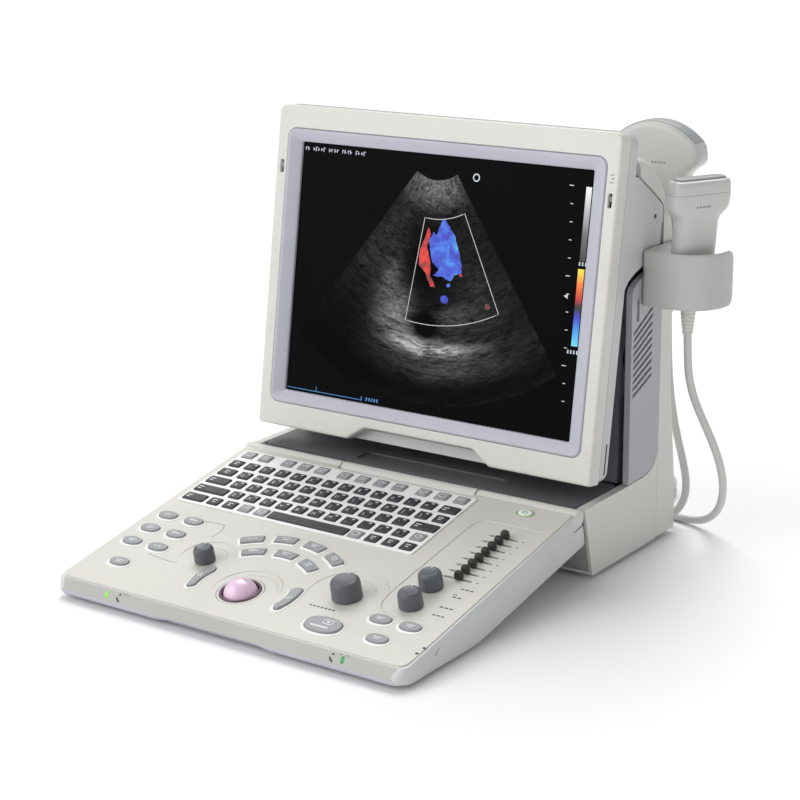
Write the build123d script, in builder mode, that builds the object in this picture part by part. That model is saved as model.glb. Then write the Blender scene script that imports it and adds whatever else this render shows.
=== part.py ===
from build123d import *
import os
from math import sin, cos, tan, radians, degrees, atan2, hypot, pi

os.makedirs("parts", exist_ok=True)

# ---------------------------------------------------------------- driving sizes (mm)
OX, OY = -31.5, 49.155        # the unit's symmetry plane and the base's front foot in the row frame
HALF_W = 178.0              # half width of base and body
DISP_HALF_W = 178.7         # half width of the display
LEAN = 8.94                 # display leans back by this angle, degrees
SLOPE = 11.11               # key plate slopes down to the front, degrees
SCREEN_Y, SCREEN_Z = 21.7, 231.0      # screen centre
SCREEN_W, SCREEN_H = 304.0, 228.0     # 15 inch, 4:3
KEY_Y, KEY_Z = -23.9, 67.85           # rear edge of the key plate
HINGE_Y, HINGE_Z, HINGE_R = -22.5, 61.5, 7.6   # keyboard fold axis
TILT_Y, TILT_Z = 98.5, 298.3          # display tilt axis
DISP_BACK = -26.5           # back of the display behind the screen plane
WALL = 3.0
CORD_D = 7.0                # probe cable
COIL_R = 42.0               # middle radius of a wound probe cable

a, b = radians(LEAN), radians(SLOPE)


def level(z):
    return Plane(origin=(OX, OY, z))


def side(x):
    """Sketch x = depth, sketch y = height, extrudes along +X."""
    return Plane(origin=(OX + x, OY, 0), x_dir=(0, 1, 0), z_dir=(1, 0, 0))


def back(y):
    """Sketch x = -X, sketch y = height, extrudes along +Y."""
    return Plane(origin=(OX, OY + y, 0), x_dir=(-1, 0, 0), z_dir=(0, 1, 0))


def disp(n=0.0):
    """Plane parallel to the screen, n in front of it."""
    return Plane(origin=(OX, OY + SCREEN_Y - n * cos(a), SCREEN_Z + n * sin(a)),
                 x_dir=(1, 0, 0), z_dir=(0, -cos(a), sin(a)))


def keyp(h=0.0):
    """Plane parallel to the key plate, h above it; sketch y = -distance from the rear edge."""
    return Plane(origin=(OX, OY + KEY_Y - h * sin(b), KEY_Z + h * cos(b)),
                 x_dir=(1, 0, 0), z_dir=(0, -sin(b), cos(b)))


def key_side(x=0.0):
    """Side profile of the keyboard: sketch x = towards the front, sketch y = above the plate."""
    return Plane(origin=(OX + x, OY + KEY_Y, KEY_Z), x_dir=(0, -cos(b), -sin(b)), z_dir=(-1, 0, 0))


ND = Vector(0, -cos(a), sin(a))      # out of the screen
NK = Vector(0, -sin(b), cos(b))      # out of the key plate


def facing(bp, n):
    """The part's furthest flat face that looks along n."""
    flat = bp.faces().filter_by(GeomType.PLANE).filter_by(lambda f: f.normal_at().dot(n) > 0.999)
    return flat.sort_by(lambda f: f.center().dot(n))[-1]


def done(bp, name):
    bp.part.label = name
    export_step(bp.part, "parts/" + name + ".step")


# ================================================================ BASE AND BODY
# side outline of the lower housing: front leans forward, top meets the side panel in a curve
BASE_TOP = [(62.0, 67.9), (83.0, 68.6), (99.8, 71.6), (108.0, 77.0), (113.4, 86.0)]
with BuildPart() as base_shell:
    with BuildSketch(side(-HALF_W)):
        with BuildLine():
            Polyline((1.0, 4.0), (-14.2, 67.0), (62.0, 67.4))
            Spline(*[(62.0, 67.4)] + [(p, q - 0.5) for p, q in BASE_TOP[1:]])
            Polyline((113.4, 85.5), (113.4, 4.0), (1.0, 4.0))
        make_face()
    extrude(amount=2 * HALF_W)
    # hollow: open to the front, the top and the rear
    with BuildSketch(side(-HALF_W + WALL)):
        Polygon((-30, 7.0), (-30, 57.0), (-30, 57.0), (130, 57.0), (130, 7.0), align=None)
    extrude(amount=2 * (HALF_W - WALL), mode=Mode.SUBTRACT)
    with BuildSketch(side(-170)):
        Polygon((-3.0, 52.0), (-3.0, 120.0), (130, 120.0), (130, 52.0), align=None)
    extrude(amount=340, mode=Mode.SUBTRACT)
    with BuildSketch(side(-170)):
        Polygon((-30.0, 64.0), (-30.0, 120.0), (10, 120.0), (10, 64.0), align=None)
    extrude(amount=340, mode=Mode.SUBTRACT)
    # the front rail stays back from the hinge barrels
    with BuildSketch(side(-176)):
        Polygon((-30.0, 40.0), (-30.0, 64.1), (-11.4, 64.1), (-11.4, 52.0), (-12.4, 40.0), align=None)
    extrude(amount=352, mode=Mode.SUBTRACT)
    # centre knuckle of the fold hinge with its web
    with BuildSketch(side(-66.0)):
        with Locations((HINGE_Y, HINGE_Z)):
            Circle(HINGE_R)
    extrude(amount=142.5)
    with BuildSketch(side(-66.0)):
        Polygon((HINGE_Y, 55.0), (HINGE_Y, 68.2), (-12.4, 64.0), (-9.5, 64.0), (-9.5, 55.0), align=None)
    extrude(amount=142.5)
    with BuildSketch(side(-66.5)):
        with Locations((HINGE_Y, HINGE_Z)):
            Circle(3.05)
    extrude(amount=143.5, mode=Mode.SUBTRACT)
done(base_shell, "base_shell")

with BuildPart() as front_grille:
    with BuildSketch(side(-174.6)):
        Polygon((0.8, 7.3), (4.8, 7.3), (-6.0, 51.6), (-10.0, 51.6), align=None)
    extrude(amount=349.2)
    for zc in (14.0, 21.0, 28.0, 35.0, 42.0):
        with BuildSketch(back(-20)):
            with Locations((-95, zc), (0, zc), (95, zc)):
                SlotOverall(84, 2.6)
        extrude(amount=40, mode=Mode.SUBTRACT)
done(front_grille, "front_grille")

with BuildPart() as deck_cover:
    with BuildSketch(level(64.2)):
        with Locations((0, 24.2)):
            RectangleRounded(339.4, 70.6, 9)
    extrude(amount=3.0)
    # shallow well behind the centre knuckle
    with BuildSketch(level(65.6)):
        with Locations((5.5, 8.0)):
            RectangleRounded(150, 22, 5)
    extrude(amount=2.0, mode=Mode.SUBTRACT)
done(deck_cover, "deck_cover")

# dark inner chassis: front wall and two side walls
with BuildPart() as chassis:
    with BuildSketch(side(-166)):
        Polygon((61.5, 67.9), (61.5, 292), (69.5, 340), (80, 338), (98, 322), (112.6, 305), (112.6, 67.9), align=None)
    extrude(amount=332)
    with BuildSketch(side(-163.5)):
        Polygon((64.0, 60.0), (64.0, 292), (72.0, 345), (140, 345), (140, 60.0), align=None)
    extrude(amount=327, mode=Mode.SUBTRACT)
    with BuildSketch(side(-170)):
        with Locations((TILT_Y, TILT_Z)):
            Circle(5.05)
    extrude(amount=340, mode=Mode.SUBTRACT)
    # air opening behind the right side vents
    with BuildSketch(side(160)):
        with Locations((88, 178)):
            Circle(20)
    extrude(amount=10, mode=Mode.SUBTRACT)
done(chassis, "chassis")

PANEL_TOP = [(63.0, 242.3), (70.0, 246.6), (84.0, 251.3)]


def side_panel(x0, vents):
    with BuildPart() as p:
        with BuildSketch(side(x0)):
            with BuildLine():
                Polyline((60.8, 68.3), (60.8, 238.0), *PANEL_TOP, (113.4, 255.8), (113.4, 86.6))
                Spline(*[(113.4, 86.6)] + [(y, z + 0.5) for y, z in BASE_TOP[::-1][1:-1]] + [(62.0, 68.3)])
                Line((62.0, 68.3), (60.8, 68.3))
            make_face()
        extrude(amount=5.8)
        if vents:
            for i in range(10):
                z0 = 200.2 - 6.15 * i
                with BuildSketch(side(x0 - 1)):
                    Polygon((64.5, z0 + 0.4), (64.5, z0 + 3.5), (97.8, z0 + 21.0 - 0.5 * i), (97.8, z0 + 17.9 - 0.5 * i), align=None)
                extrude(amount=8, mode=Mode.SUBTRACT)
        # keyway beside the probe cup
        with BuildSketch(side(x0 - 1)):
            with Locations((71.5, 222.0)):
                SlotOverall(20, 4.5, rotation=90)
        extrude(amount=8, mode=Mode.SUBTRACT)
    return p


side_panel_right = side_panel(172.2, True)
done(side_panel_right, "side_panel_right")
side_panel_left = side_panel(-178.0, True)
done(side_panel_left, "side_panel_left")

REAR = [(70.3, 351.0), (84, 349.5), (103, 336.5), (119, 319), (130, 301), (136, 281), (138.5, 250), (139.2, 210), (141, 148), (149.5, 80), (154.5, 16), (150, 5.0)]
with BuildPart() as rear_cover:
    with BuildSketch(side(-HALF_W)):
        with BuildLine():
            Spline(*REAR[:-1])
            Polyline(REAR[-2], REAR[-1], (113.8, 5.0), (113.8, 298.3), (112.2, 307.0),
                     (107.3, 311.5), (70.3, 336.2), (70.3, 351.0))
        make_face()
    extrude(amount=2 * HALF_W)
    rear_edges = rear_cover.edges().filter_by(lambda e: abs(abs(e.center().X - OX) - HALF_W) < 0.01 and e.length > 300)
    try:
        fillet(rear_edges, 9)
    except Exception as err:
        print("rear cover edge left square", err)
    # hollow: skin 3, cheeks 6
    with BuildSketch(side(-172)):
        with BuildLine():
            inner = [(p - 2.6, q - 3.2) for p, q in REAR[1:-2]]
            Spline(*([(60, 347.6)] + inner + [(151.0, 16.0)]))
            Polyline((151.0, 16.0), (148, 8.0), (90, 8.0), (60, 100), (60, 347.6))
        make_face()
    extrude(amount=344, mode=Mode.SUBTRACT)
    # the cheeks stay clear of the tilting arms all round their pivot
    with BuildSketch(side(-180)):
        with Locations((TILT_Y, TILT_Z)):
            Circle(15.6)
    extrude(amount=360, mode=Mode.SUBTRACT)
    # connector window
    with BuildSketch(back(120)):
        with Locations((50, 84)):
            RectangleRounded(196, 80, 6)
    extrude(amount=60, mode=Mode.SUBTRACT)
    # rear air outlet slots
    for zc in range(205, 262, 7):
        with BuildSketch(back(120)):
            with Locations((-62, zc), (62, zc)):
                SlotOverall(70, 3.0)
        extrude(amount=40, mode=Mode.SUBTRACT)
    # carrying handle lugs
    with BuildSketch(side(-62)):
        Polygon((120, 309), (139, 309), (146, 302), (146, 292), (139, 287), (128, 287), align=None)
    extrude(amount=8)
    with BuildSketch(side(54)):
        Polygon((120, 309), (139, 309), (146, 302), (146, 292), (139, 287), (128, 287), align=None)
    extrude(amount=8)
    with BuildSketch(side(-62.5)):
        with Locations((140.0, 298.0)):
            Circle(2.05)
    extrude(amount=125, mode=Mode.SUBTRACT)
done(rear_cover, "rear_cover")

# carrying handle: a bail that hangs folded against the rear cover
with BuildPart() as carry_handle:
    with BuildSketch(back(143.2)):
        with Locations((0, 271)):
            RectangleRounded(107, 66, 10)
        with Locations((0, 275)):
            RectangleRounded(83, 46, 6, mode=Mode.SUBTRACT)
        with Locations((0, 305)):
            Rectangle(83, 20, mode=Mode.SUBTRACT)
    extrude(amount=11.5)
    with BuildSketch(side(-53.5)):
        with Locations((140.0, 298.0)):
            Circle(6.0)
    extrude(amount=12)
    with BuildSketch(side(41.5)):
        with Locations((140.0, 298.0)):
            Circle(6.0)
    extrude(amount=12)
    with BuildSketch(side(-60)):
        with Locations((140.0, 298.0)):
            Circle(2.05)
    extrude(amount=120, mode=Mode.SUBTRACT)
done(carry_handle, "carry_handle")

with BuildPart() as base_feet:
    with BuildSketch(level(0)):
        with Locations((-150, 20), (150, 20), (-150, 132), (150, 132)):
            Circle(9)
    extrude(amount=3.9)
done(base_feet, "base_feet")

with BuildPart() as hinge_pins:
    # fold pin
    with BuildSketch(side(-172)):
        with Locations((HINGE_Y, HINGE_Z)):
            Circle(3.0)
    extrude(amount=344)
    # two tilt pins
    with BuildSketch(side(-176)):
        with Locations((TILT_Y, TILT_Z)):
            Circle(5.0)
    extrude(amount=24)
    with BuildSketch(side(152)):
        with Locations((TILT_Y, TILT_Z)):
            Circle(5.0)
    extrude(amount=24)
    # two handle pins
    with BuildSketch(side(-61.5)):
        with Locations((140.0, 298.0)):
            Circle(2.0)
    extrude(amount=19.5)
    with BuildSketch(side(42)):
        with Locations((140.0, 298.0)):
            Circle(2.0)
    extrude(amount=19.5)
done(hinge_pins, "hinge_pins")

# ---------------------------------------------------------------- inside the body
with BuildPart() as battery_pack:
    with BuildSketch(level(9.0)):
        with Locations((60, 55)):
            RectangleRounded(130, 82, 4)
    extrude(amount=42)
done(battery_pack, "battery_pack")

with BuildPart() as power_supply:
    with BuildSketch(level(9.0)):
        with Locations((-75, 55)):
            RectangleRounded(110, 82, 3)
    extrude(amount=38)
    with BuildSketch(level(47.0)):
        with Locations((-75, 55)):
            Rectangle(90, 60)
    extrude(amount=5)
done(power_supply, "power_supply")

with BuildPart() as mainboard:
    with BuildSketch(back(72)):
        with Locations((30, 170)):
            Rectangle(250, 180)
    extrude(amount=1.6)
    with BuildSketch(back(73.6)):
        with Locations((75, 210), (20, 215), (-35, 205), (80, 150), (0, 150)):
            Rectangle(34, 34)
        with Locations((-60, 140), (-60, 115), (45, 105)):
            Rectangle(26, 16)
    extrude(amount=4)
done(mainboard, "mainboard")

FAN_Y, FAN_Z = 95.0, 178.0
with BuildPart() as fan_frame:
    with BuildSketch(side(142)):
        with Locations((FAN_Y, FAN_Z)):
            RectangleRounded(60, 60, 5)
            Circle(27.5, mode=Mode.SUBTRACT)
    extrude(amount=20)
    # strut cross with the bearing pin
    with BuildSketch(side(142)):
        with Locations((FAN_Y, FAN_Z)):
            Rectangle(57, 4, rotation=45)
            Rectangle(57, 4, rotation=-45)
            Circle(9)
    extrude(amount=3)
    with BuildSketch(side(145)):
        with Locations((FAN_Y, FAN_Z)):
            Circle(2.0)
    extrude(amount=12)
    with BuildSketch(side(141)):
        with Locations((FAN_Y, FAN_Z)):
            with GridLocations(50, 50, 2, 2):
                Circle(2.1)
    extrude(amount=22, mode=Mode.SUBTRACT)
done(fan_frame, "fan_frame")

with BuildPart() as fan_rotor:
    with BuildSketch(side(146.5)):
        with Locations((FAN_Y, FAN_Z)):
            Circle(11)
            Circle(2.05, mode=Mode.SUBTRACT)
    extrude(amount=12)
    for i in range(7):
        t = 360 / 7 * i
        # blade root plane looks outwards along its radius
        rad = (0, cos(radians(t)), sin(radians(t)))
        with BuildSketch(Plane(origin=(OX + 152.5, OY + FAN_Y + 10.2 * rad[1], FAN_Z + 10.2 * rad[2]),
                               x_dir=(1, 0, 0), z_dir=rad)):
            Rectangle(11, 1.6, rotation=38)
        extrude(amount=15.6)
done(fan_rotor, "fan_rotor")

# ---------------------------------------------------------------- rear connector panel
PORT_A, PORT_B = 20.0, -100.0      # X of the two probe connectors
with BuildPart() as io_panel:
    with BuildSketch(back(133.5)):
        with Locations((50, 84)):
            RectangleRounded(204, 88, 4)
    extrude(amount=2.0)
    # raised collars of the two probe sockets
    with BuildSketch(back(135.5)):
        with Locations((-PORT_A, 92), (-PORT_B, 92)):
            RectangleRounded(50, 54, 5)
    extrude(amount=3.0)
    # mains inlet body between them, with its cup
    with BuildSketch(back(135.5)):
        with Locations((57, 66)):
            RectangleRounded(33, 26, 3)
    extrude(amount=6.0)
    with BuildSketch(back(136.5)):
        with Locations((57, 66)):
            RectangleRounded(25, 18, 3)
    extrude(amount=8.0, mode=Mode.SUBTRACT)
    # three flat signal sockets above, closed by dust covers
    with BuildSketch(back(135.5)):
        with Locations((38, 100), (57, 100), (76, 100)):
            RectangleRounded(14, 9, 1.5)
    extrude(amount=2.4)
done(io_panel, "io_panel")


def connector(xc):
    with BuildPart() as p:
        with BuildSketch(back(138.7)):
            with Locations((-xc, 92)):
                RectangleRounded(46, 50, 6)
        extrude(amount=30)
        # cable neck at the foot
        with BuildSketch(level(57.0)):
            with Locations((xc, 155.0)):
                Circle(6.5)
        extrude(amount=12)
        # turning lock on the face
        with BuildSketch(back(168.7)):
            with Locations((-xc, 98)):
                Circle(13)
        extrude(amount=4)
        with BuildSketch(back(172.7)):
            with Locations((-xc, 98)):
                RectangleRounded(24, 7, 3, rotation=0)
        extrude(amount=6)
    return p


linear_connector = connector(PORT_A)
done(linear_connector, "linear_connector")
convex_connector = connector(PORT_B)
done(convex_connector, "convex_connector")

# ---------------------------------------------------------------- probe cups and probes
CUP_Z0, CUP_Z1 = 225.0, 273.0
LIN_X, LIN_Y = 210.0, 101.0
CON_X, CON_Y = 158.0, 164.5
with BuildPart() as side_probe_cup:
    with BuildSketch(level(CUP_Z0)):
        with BuildLine():
            Polyline((178.3, 138.0), (178.3, 75.0), (205.0, 75.0))
            RadiusArc((205.0, 75.0), (241.7, 112.0), -38)
            Polyline((241.7, 112.0), (241.7, 121.0), (238.7, 121.0), (238.7, 112.0))
            RadiusArc((238.7, 112.0), (205.0, 78.0), 35)
            Polyline((205.0, 78.0), (181.5, 78.0), (181.5, 138.0), (178.3, 138.0))
        make_face()
    extrude(amount=CUP_Z1 - CUP_Z0)
    with BuildSketch(level(CUP_Z0)):
        with BuildLine():
            Polyline((180.0, 121.0), (180.0, 77.0), (205.0, 77.0))
            RadiusArc((205.0, 77.0), (239.7, 112.0), -36)
            Polyline((239.7, 112.0), (239.7, 121.0), (180.0, 121.0))
        make_face()
        with Locations((LIN_X, LIN_Y)):
            Circle(11, mode=Mode.SUBTRACT)
        with Locations((LIN_X, LIN_Y + 15)):
            Rectangle(22, 30, mode=Mode.SUBTRACT)
    extrude(amount=3.0)
done(side_probe_cup, "side_probe_cup")

with BuildPart() as rear_probe_cup:
    with BuildSketch(level(CUP_Z0)):
        with Locations((158, 162.0)):
            RectangleRounded(54, 43.4, 8)
            RectangleRounded(48, 37.4, 6, mode=Mode.SUBTRACT)
        with Locations((187, 162)):
            Rectangle(12, 16, mode=Mode.SUBTRACT)
    extrude(amount=CUP_Z1 - CUP_Z0)
    with BuildSketch(level(CUP_Z0)):
        with Locations((158, 162.0)):
            RectangleRounded(52, 41.4, 7)
        with Locations((158, 164.5)):
            Circle(11, mode=Mode.SUBTRACT)
        with Locations((173, 164.5)):
            Rectangle(30, 22, mode=Mode.SUBTRACT)
    extrude(amount=3.0)
done(rear_probe_cup, "rear_probe_cup")

LIN_T = 62.0      # the linear probe's broad side, degrees from +X


def lin_section(z, w, t, r):
    dx, dy = 0.0465 * (z - 228), 0.033 * (z - 228)
    return BuildSketch(Plane(origin=(OX + LIN_X + dx, OY + LIN_Y + dy, z),
                             x_dir=(cos(radians(LIN_T)), sin(radians(LIN_T)), 0), z_dir=(0, 0, 1))), w, t, r


with BuildPart() as linear_probe:
    for z, w, t, r in ((228.4, 22, 15, 6.5), (240, 35, 20, 8), (262, 40, 21.5, 9), (300, 38.5, 21, 9),
                       (309, 46, 22, 9), (317, 56, 23.5, 9), (328, 57, 23.5, 9)):
        bs, w, t, r = lin_section(z, w, t, r)
        with bs:
            RectangleRounded(w, t, r)
    loft(ruled=True)
    for z, w, t, r in ((328, 56, 22.5, 8.5), (335.0, 49, 14, 6)):
        bs, w, t, r = lin_section(z, w, t, r)
        with bs:
            RectangleRounded(w, t, r)
    loft()
done(linear_probe, "linear_probe")

with BuildPart() as convex_probe:
    with BuildSketch(back(CON_Y - 12.0)):
        with BuildLine():
            Polyline((-CON_X - 8, 228.4), (-CON_X - 16, 236), (-CON_X - 20, 262), (-CON_X - 20.5, 306),
                     (-CON_X - 24, 318), (-CON_X - 36, 327), (-CON_X - 38.5, 333))
            ThreePointArc((-CON_X - 38.5, 333), (-CON_X, 371), (-CON_X + 38.5, 333))
            Polyline((-CON_X + 38.5, 333), (-CON_X + 36, 327), (-CON_X + 24, 318), (-CON_X + 20.5, 306),
                     (-CON_X + 20, 262), (-CON_X + 16, 236), (-CON_X + 8, 228.4), (-CON_X - 8, 228.4))
        make_face()
    extrude(amount=24.0)
    chamfer(convex_probe.faces().filter_by(Axis.Y).edges(), 4.0)
done(convex_probe, "convex_probe")


def relief(x, y):
    with BuildPart() as p:
        with BuildSketch(Plane(origin=(OX + x, OY + y, 228.3), z_dir=(0, 0, -1))):
            Circle(7.5)
        with BuildSketch(Plane(origin=(OX + x, OY + y, 200.0), z_dir=(0, 0, -1))):
            Circle(4.6)
        loft(ruled=True)
    return p


linear_relief = relief(LIN_X, LIN_Y)
done(linear_relief, "linear_relief")
convex_relief = relief(CON_X, CON_Y)
done(convex_relief, "convex_relief")

# ---------------------------------------------------------------- probe cables
COIL_A = (88.0, 224.0)
COIL_B = (-40.0, 222.0)
LIN_ROUTE = [(LIN_X, LIN_Y, 200.0), (LIN_X + 0.3, LIN_Y + 1.0, 182.0), (211.0, 103.5, 162.0), (215.0, 107.0, 141.0),
             (221.8, 112.5, 121.0), (228.6, 119.5, 100.0), (232.4, 128.0, 78.0), (231.0, 138.5, 56.0),
             (224.5, 149.5, 36.0), (213.0, 160.5, 19.5), (197.5, 169.5, 8.0), (179.0, 175.0, 3.7), (158.0, 177.6, 3.6), (136.0, 179.2, 3.6),
             (114.0, 181.4, 3.6), (91.0, 182.0, 3.7)]
LIN_OUT = [(85.0, 182.0, 17.5), (71.0, 181.6, 17.4), (56.0, 179.0, 18.8), (42.5, 173.6, 23.0), (30.8, 165.8, 31.5),
           (22.8, 158.4, 43.5), (20.0, 155.0, 57.0)]
CON_ROUTE = [(CON_X, CON_Y, 200.0), (CON_X + 0.2, CON_Y + 0.5, 180.0), (158.6, 166.5, 156.0), (160.2, 167.0, 132.0),
             (163.8, 167.5, 108.0), (169.2, 167.2, 85.0), (176.0, 166.6, 63.5), (181.2, 165.8, 42.5),
             (179.6, 164.6, 24.5), (170.0, 163.4, 10.5), (154.0, 162.8, 4.2), (135.0, 163.2, 3.6), (112.0, 164.0, 3.6),
             (88.0, 163.2, 3.6), (64.0, 163.0, 3.6), (41.0, 164.4, 3.6), (18.0, 167.4, 3.6), (-6.0, 173.4, 3.6), (-26.0, 178.6, 3.6), (-44.0, 180.0, 3.7)]
CON_OUT = [(-36.0, 180.0, 17.5), (-50.0, 179.8, 17.4), (-64.5, 177.6, 18.8), (-77.8, 172.4, 23.0), (-89.2, 165.0, 31.5),
           (-97.2, 158.2, 43.5), (-100.0, 155.0, 57.0)]


def tube_path(route, name):
    pts = [Vector(OX + p[0], OY + p[1], p[2]) for p in route]
    radii = []
    for i in range(1, len(pts) - 1):
        r1, r2 = pts[i] - pts[i - 1], pts[i + 1] - pts[i]
        turn = radians(r1.get_angle(r2))
        radii.append(0.45 * min(r1.length, r2.length) / tan(turn / 2))
    print(name, "radii", [round(r) for r in radii])
    return pts, radii


def tube(route, name):
    pts, radii = tube_path(route, name)
    with BuildPart() as p:
        with BuildLine() as l:
            FilletPolyline(*pts, radius=radii)
        with BuildSketch(Plane(l.wire() ^ 0)):
            Circle(CORD_D / 2)
        sweep(path=l.wire())
    print(name, "length", round(l.wire().length), "volume ratio",
          round(p.part.volume / (pi * CORD_D ** 2 / 4 * l.wire().length), 4), "valid", p.part.is_valid)
    return p.part


def tubes(routes, name):
    with BuildPart() as p:
        for i, r in enumerate(routes):
            add(tube(r, name + str(i)))
    return p


linear_cable = tubes([LIN_ROUTE, LIN_OUT], "linear_cable")
done(linear_cable, "linear_cable")
convex_cable = tubes([CON_ROUTE, CON_OUT], "convex_cable")
done(convex_cable, "convex_cable")


def coil(c):
    with BuildPart() as p:
        with BuildSketch(level(0.0)):
            with Locations(c):
                Circle(COIL_R + 7.2)
                Circle(COIL_R - 7.2, mode=Mode.SUBTRACT)
        extrude(amount=21.5)
        chamfer(p.edges().filter_by(GeomType.CIRCLE), 3.0)
    return p


linear_coil = coil(COIL_A)
done(linear_coil, "linear_coil")
convex_coil = coil(COIL_B)
done(convex_coil, "convex_coil")

# ================================================================ DISPLAY
D_TOP, D_BOT = 147.0, -148.7
with BuildPart() as display_bezel:
    with BuildSketch(disp(-8.0)):
        with Locations((0, (D_TOP + D_BOT) / 2)):
            RectangleRounded(2 * DISP_HALF_W, D_TOP - D_BOT, 11)
        RectangleRounded(333.0, 253.0, 9, mode=Mode.SUBTRACT)
        # notch in the lower edge
        Polygon((-76, -150), (-57, -136.2), (59, -136.2), (77, -150), align=None, mode=Mode.SUBTRACT)
        # catch slots
        with Locations((-171.4, 90.8), (171.4, 90.8)):
            RectangleRounded(4.2, 12, 1.2, mode=Mode.SUBTRACT)
    extrude(amount=14.0)
    front_edges = facing(display_bezel, ND).outer_wire().edges()
    try:
        fillet(front_edges, 2.6)
    except Exception as err:
        print("bezel edge", err)
done(display_bezel, "display_bezel")

with BuildPart() as screen_frame:
    with BuildSketch(disp(-1.0)):
        RectangleRounded(332.4, 252.4, 8.7)
        RectangleRounded(306.0, 230.0, 2.0, mode=Mode.SUBTRACT)
    extrude(amount=6.2)
    inner = facing(screen_frame, ND).inner_wires()[0].edges()
    chamfer(inner, 3.0)
done(screen_frame, "screen_frame")

with BuildPart() as lcd_panel:
    with BuildSketch(disp(-5.0)):
        RectangleRounded(318.0, 242.0, 2.0)
    extrude(amount=3.8)
    with BuildSketch(disp(-1.2)):
        Rectangle(304.8, 228.8)
    extrude(amount=1.2)
    # light unit and driver cover behind the glass
    with BuildSketch(disp(-17.0)):
        Rectangle(300, 224)
    extrude(amount=12.0)
done(lcd_panel, "lcd_panel")

with BuildPart() as display_rear_shell:
    with BuildSketch(disp(DISP_BACK)):
        with Locations((0, (148.0 + D_BOT) / 2)):
            RectangleRounded(2 * DISP_HALF_W, 148.0 - D_BOT, 11)
    extrude(amount=-8.3 - DISP_BACK)
    rear_face_edges = facing(display_rear_shell, -ND).edges()
    try:
        fillet(rear_face_edges, 7.0)
    except Exception as err:
        print("rear shell edge", err)
    with BuildSketch(disp(DISP_BACK + 2.8)):
        RectangleRounded(340, 278, 8)
    extrude(amount=30, mode=Mode.SUBTRACT)
    # two arms reach back to the tilt pins, inside the width of the body
    for x0 in (-177.6, 168.6):
        with BuildSketch(side(x0)):
            with BuildLine():
                Polyline((47.0, 243.5), (53.5, 250.0), (65.4, 255.6), (80.3, 259.3), (98.0, 262.0), (105.6, 266.0), (108.4, 275.0))
                Polyline((108.4, 275.0), (110.2, 290.0), (110.2, 305.0),
                         (106.4, 310.3), (67.5, 336.2), (56.0, 338.0), (47.0, 243.5))
            make_face()
        extrude(amount=9.0)
        with BuildSketch(side(x0)):
            with Locations((TILT_Y, TILT_Z)):
                Circle(14.5)
        extrude(amount=9.0)
    # keep the arms behind the bezel and hollow of the display
    with BuildSketch(disp(-8.3)):
        Rectangle(500, 500)
    extrude(amount=60, mode=Mode.SUBTRACT)
    for x0 in (-176.2, 168.0):
        with BuildSketch(side(x0)):
            with Locations((TILT_Y, TILT_Z)):
                Circle(5.05)
        extrude(amount=8.2, mode=Mode.SUBTRACT)
done(display_rear_shell, "display_rear_shell")

# ================================================================ KEYBOARD
V_FRONT = 254.0
# positions on the key plate: (X, distance from the rear edge)
F_KEYS = [(-158.0, 21.5), (-139.0, 21.5), (-112.6, 21.5), (-93.6, 21.5), (-74.6, 21.5), (-49.0, 21.5), (-29.4, 21.5),
          (-9.6, 21.5), (10.4, 21.5), (35.6, 21.5), (55.4, 21.5), (75.0, 21.5)]
P = 17.7
ROW1 = [(-158.8 + P * i, 39.6) for i in range(13)]
ROW2 = [(-136.0 + P * i, 56.0) for i in range(11)] + [(58.6, 56.0)]
ROW3 = [(-130.6 + P * i, 72.4) for i in range(11)]
ROW4 = [(-119.6 + P * i, 88.8) for i in range(11)]
ROW5 = [(-131.2, 105.2), (-113.5, 105.2), (40.8, 105.2), (58.5, 105.2), (76.2, 105.2)]
GREY = [(75.6, 88.8), (-95.8, 105.2), (-78.1, 105.2), (23.1, 105.2)]
WIDE = [((74.6, 39.6), 19.0), ((-156.6, 56.0), 18.4), ((76.3, 56.0), 13.8), ((-153.6, 72.4), 24.6), ((71.4, 72.4), 26.0),
        ((-148.2, 88.8), 36.0), ((-153.6, 105.2), 24.6)]
SPACE = ((-27.5, 105.2), 84.0)
KW, KD = 13.8, 12.6

L_OVALS = [(-155.2, 140.6), (-155.2, 164.6), (-155.2, 188.4), (-126.1, 140.6), (-126.1, 164.6), (-126.1, 188.4), (-141.0, 220.7)]
R_OVALS = [(120.4, 207.3), (148.4, 207.3), (134.2, 231.8)]
BALL = (-12.6, 217.0)
BALL_R, BALL_H = 14.8, -4.5
ARC_O, ARC_I = 83.0, 61.5
KNOBS = {"focus_knob": (-72.4, 189.6, 9.0, 14.0), "gain_knob": (75.3, 189.7, 12.6, 17.0),
         "mode_knob_a": (130.8, 180.6, 10.0, 15.0), "mode_knob_b": (129.6, 150.2, 10.0, 15.0)}
SLIDER_V = [60.9 + 10.0 * i for i in range(8)]
SLIDER_X = 143.5
FREEZE = (83.2, 232.6)
POWER = (136.5, 18.0)


def kp(pts):
    return [(x, -v) for x, v in pts]


def arc_key(r, ang, w, hgt, grow=0.0):
    """A key that follows the ring about the trackball: inner face of a ring sector."""
    x, y = BALL[0] + r * sin(radians(ang)), -BALL[1] + r * cos(radians(ang))
    with Locations(Location((x, y, 0), (0, 0, -ang))):
        RectangleRounded(w + grow, hgt + grow, 2.0)


ARC_KEYS = [(ARC_O, -31.5), (ARC_O, -10.5), (ARC_O, 10.5), (ARC_O, 31.5), (ARC_I, -28.0), (ARC_I, 0.0), (ARC_I, 28.0)]
SETS = [(-1, 47.0, 12.0), (1, 47.0, 12.0)]


def set_key(sgn, grow=0.0):
    x = BALL[0] + sgn * 46.5
    y = -BALL[1] + 8.0
    with Locations(Location((x, y, 0), (0, 0, -sgn * 8))):
        SlotOverall(27 + grow, 9.5 + grow, rotation=90)


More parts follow.
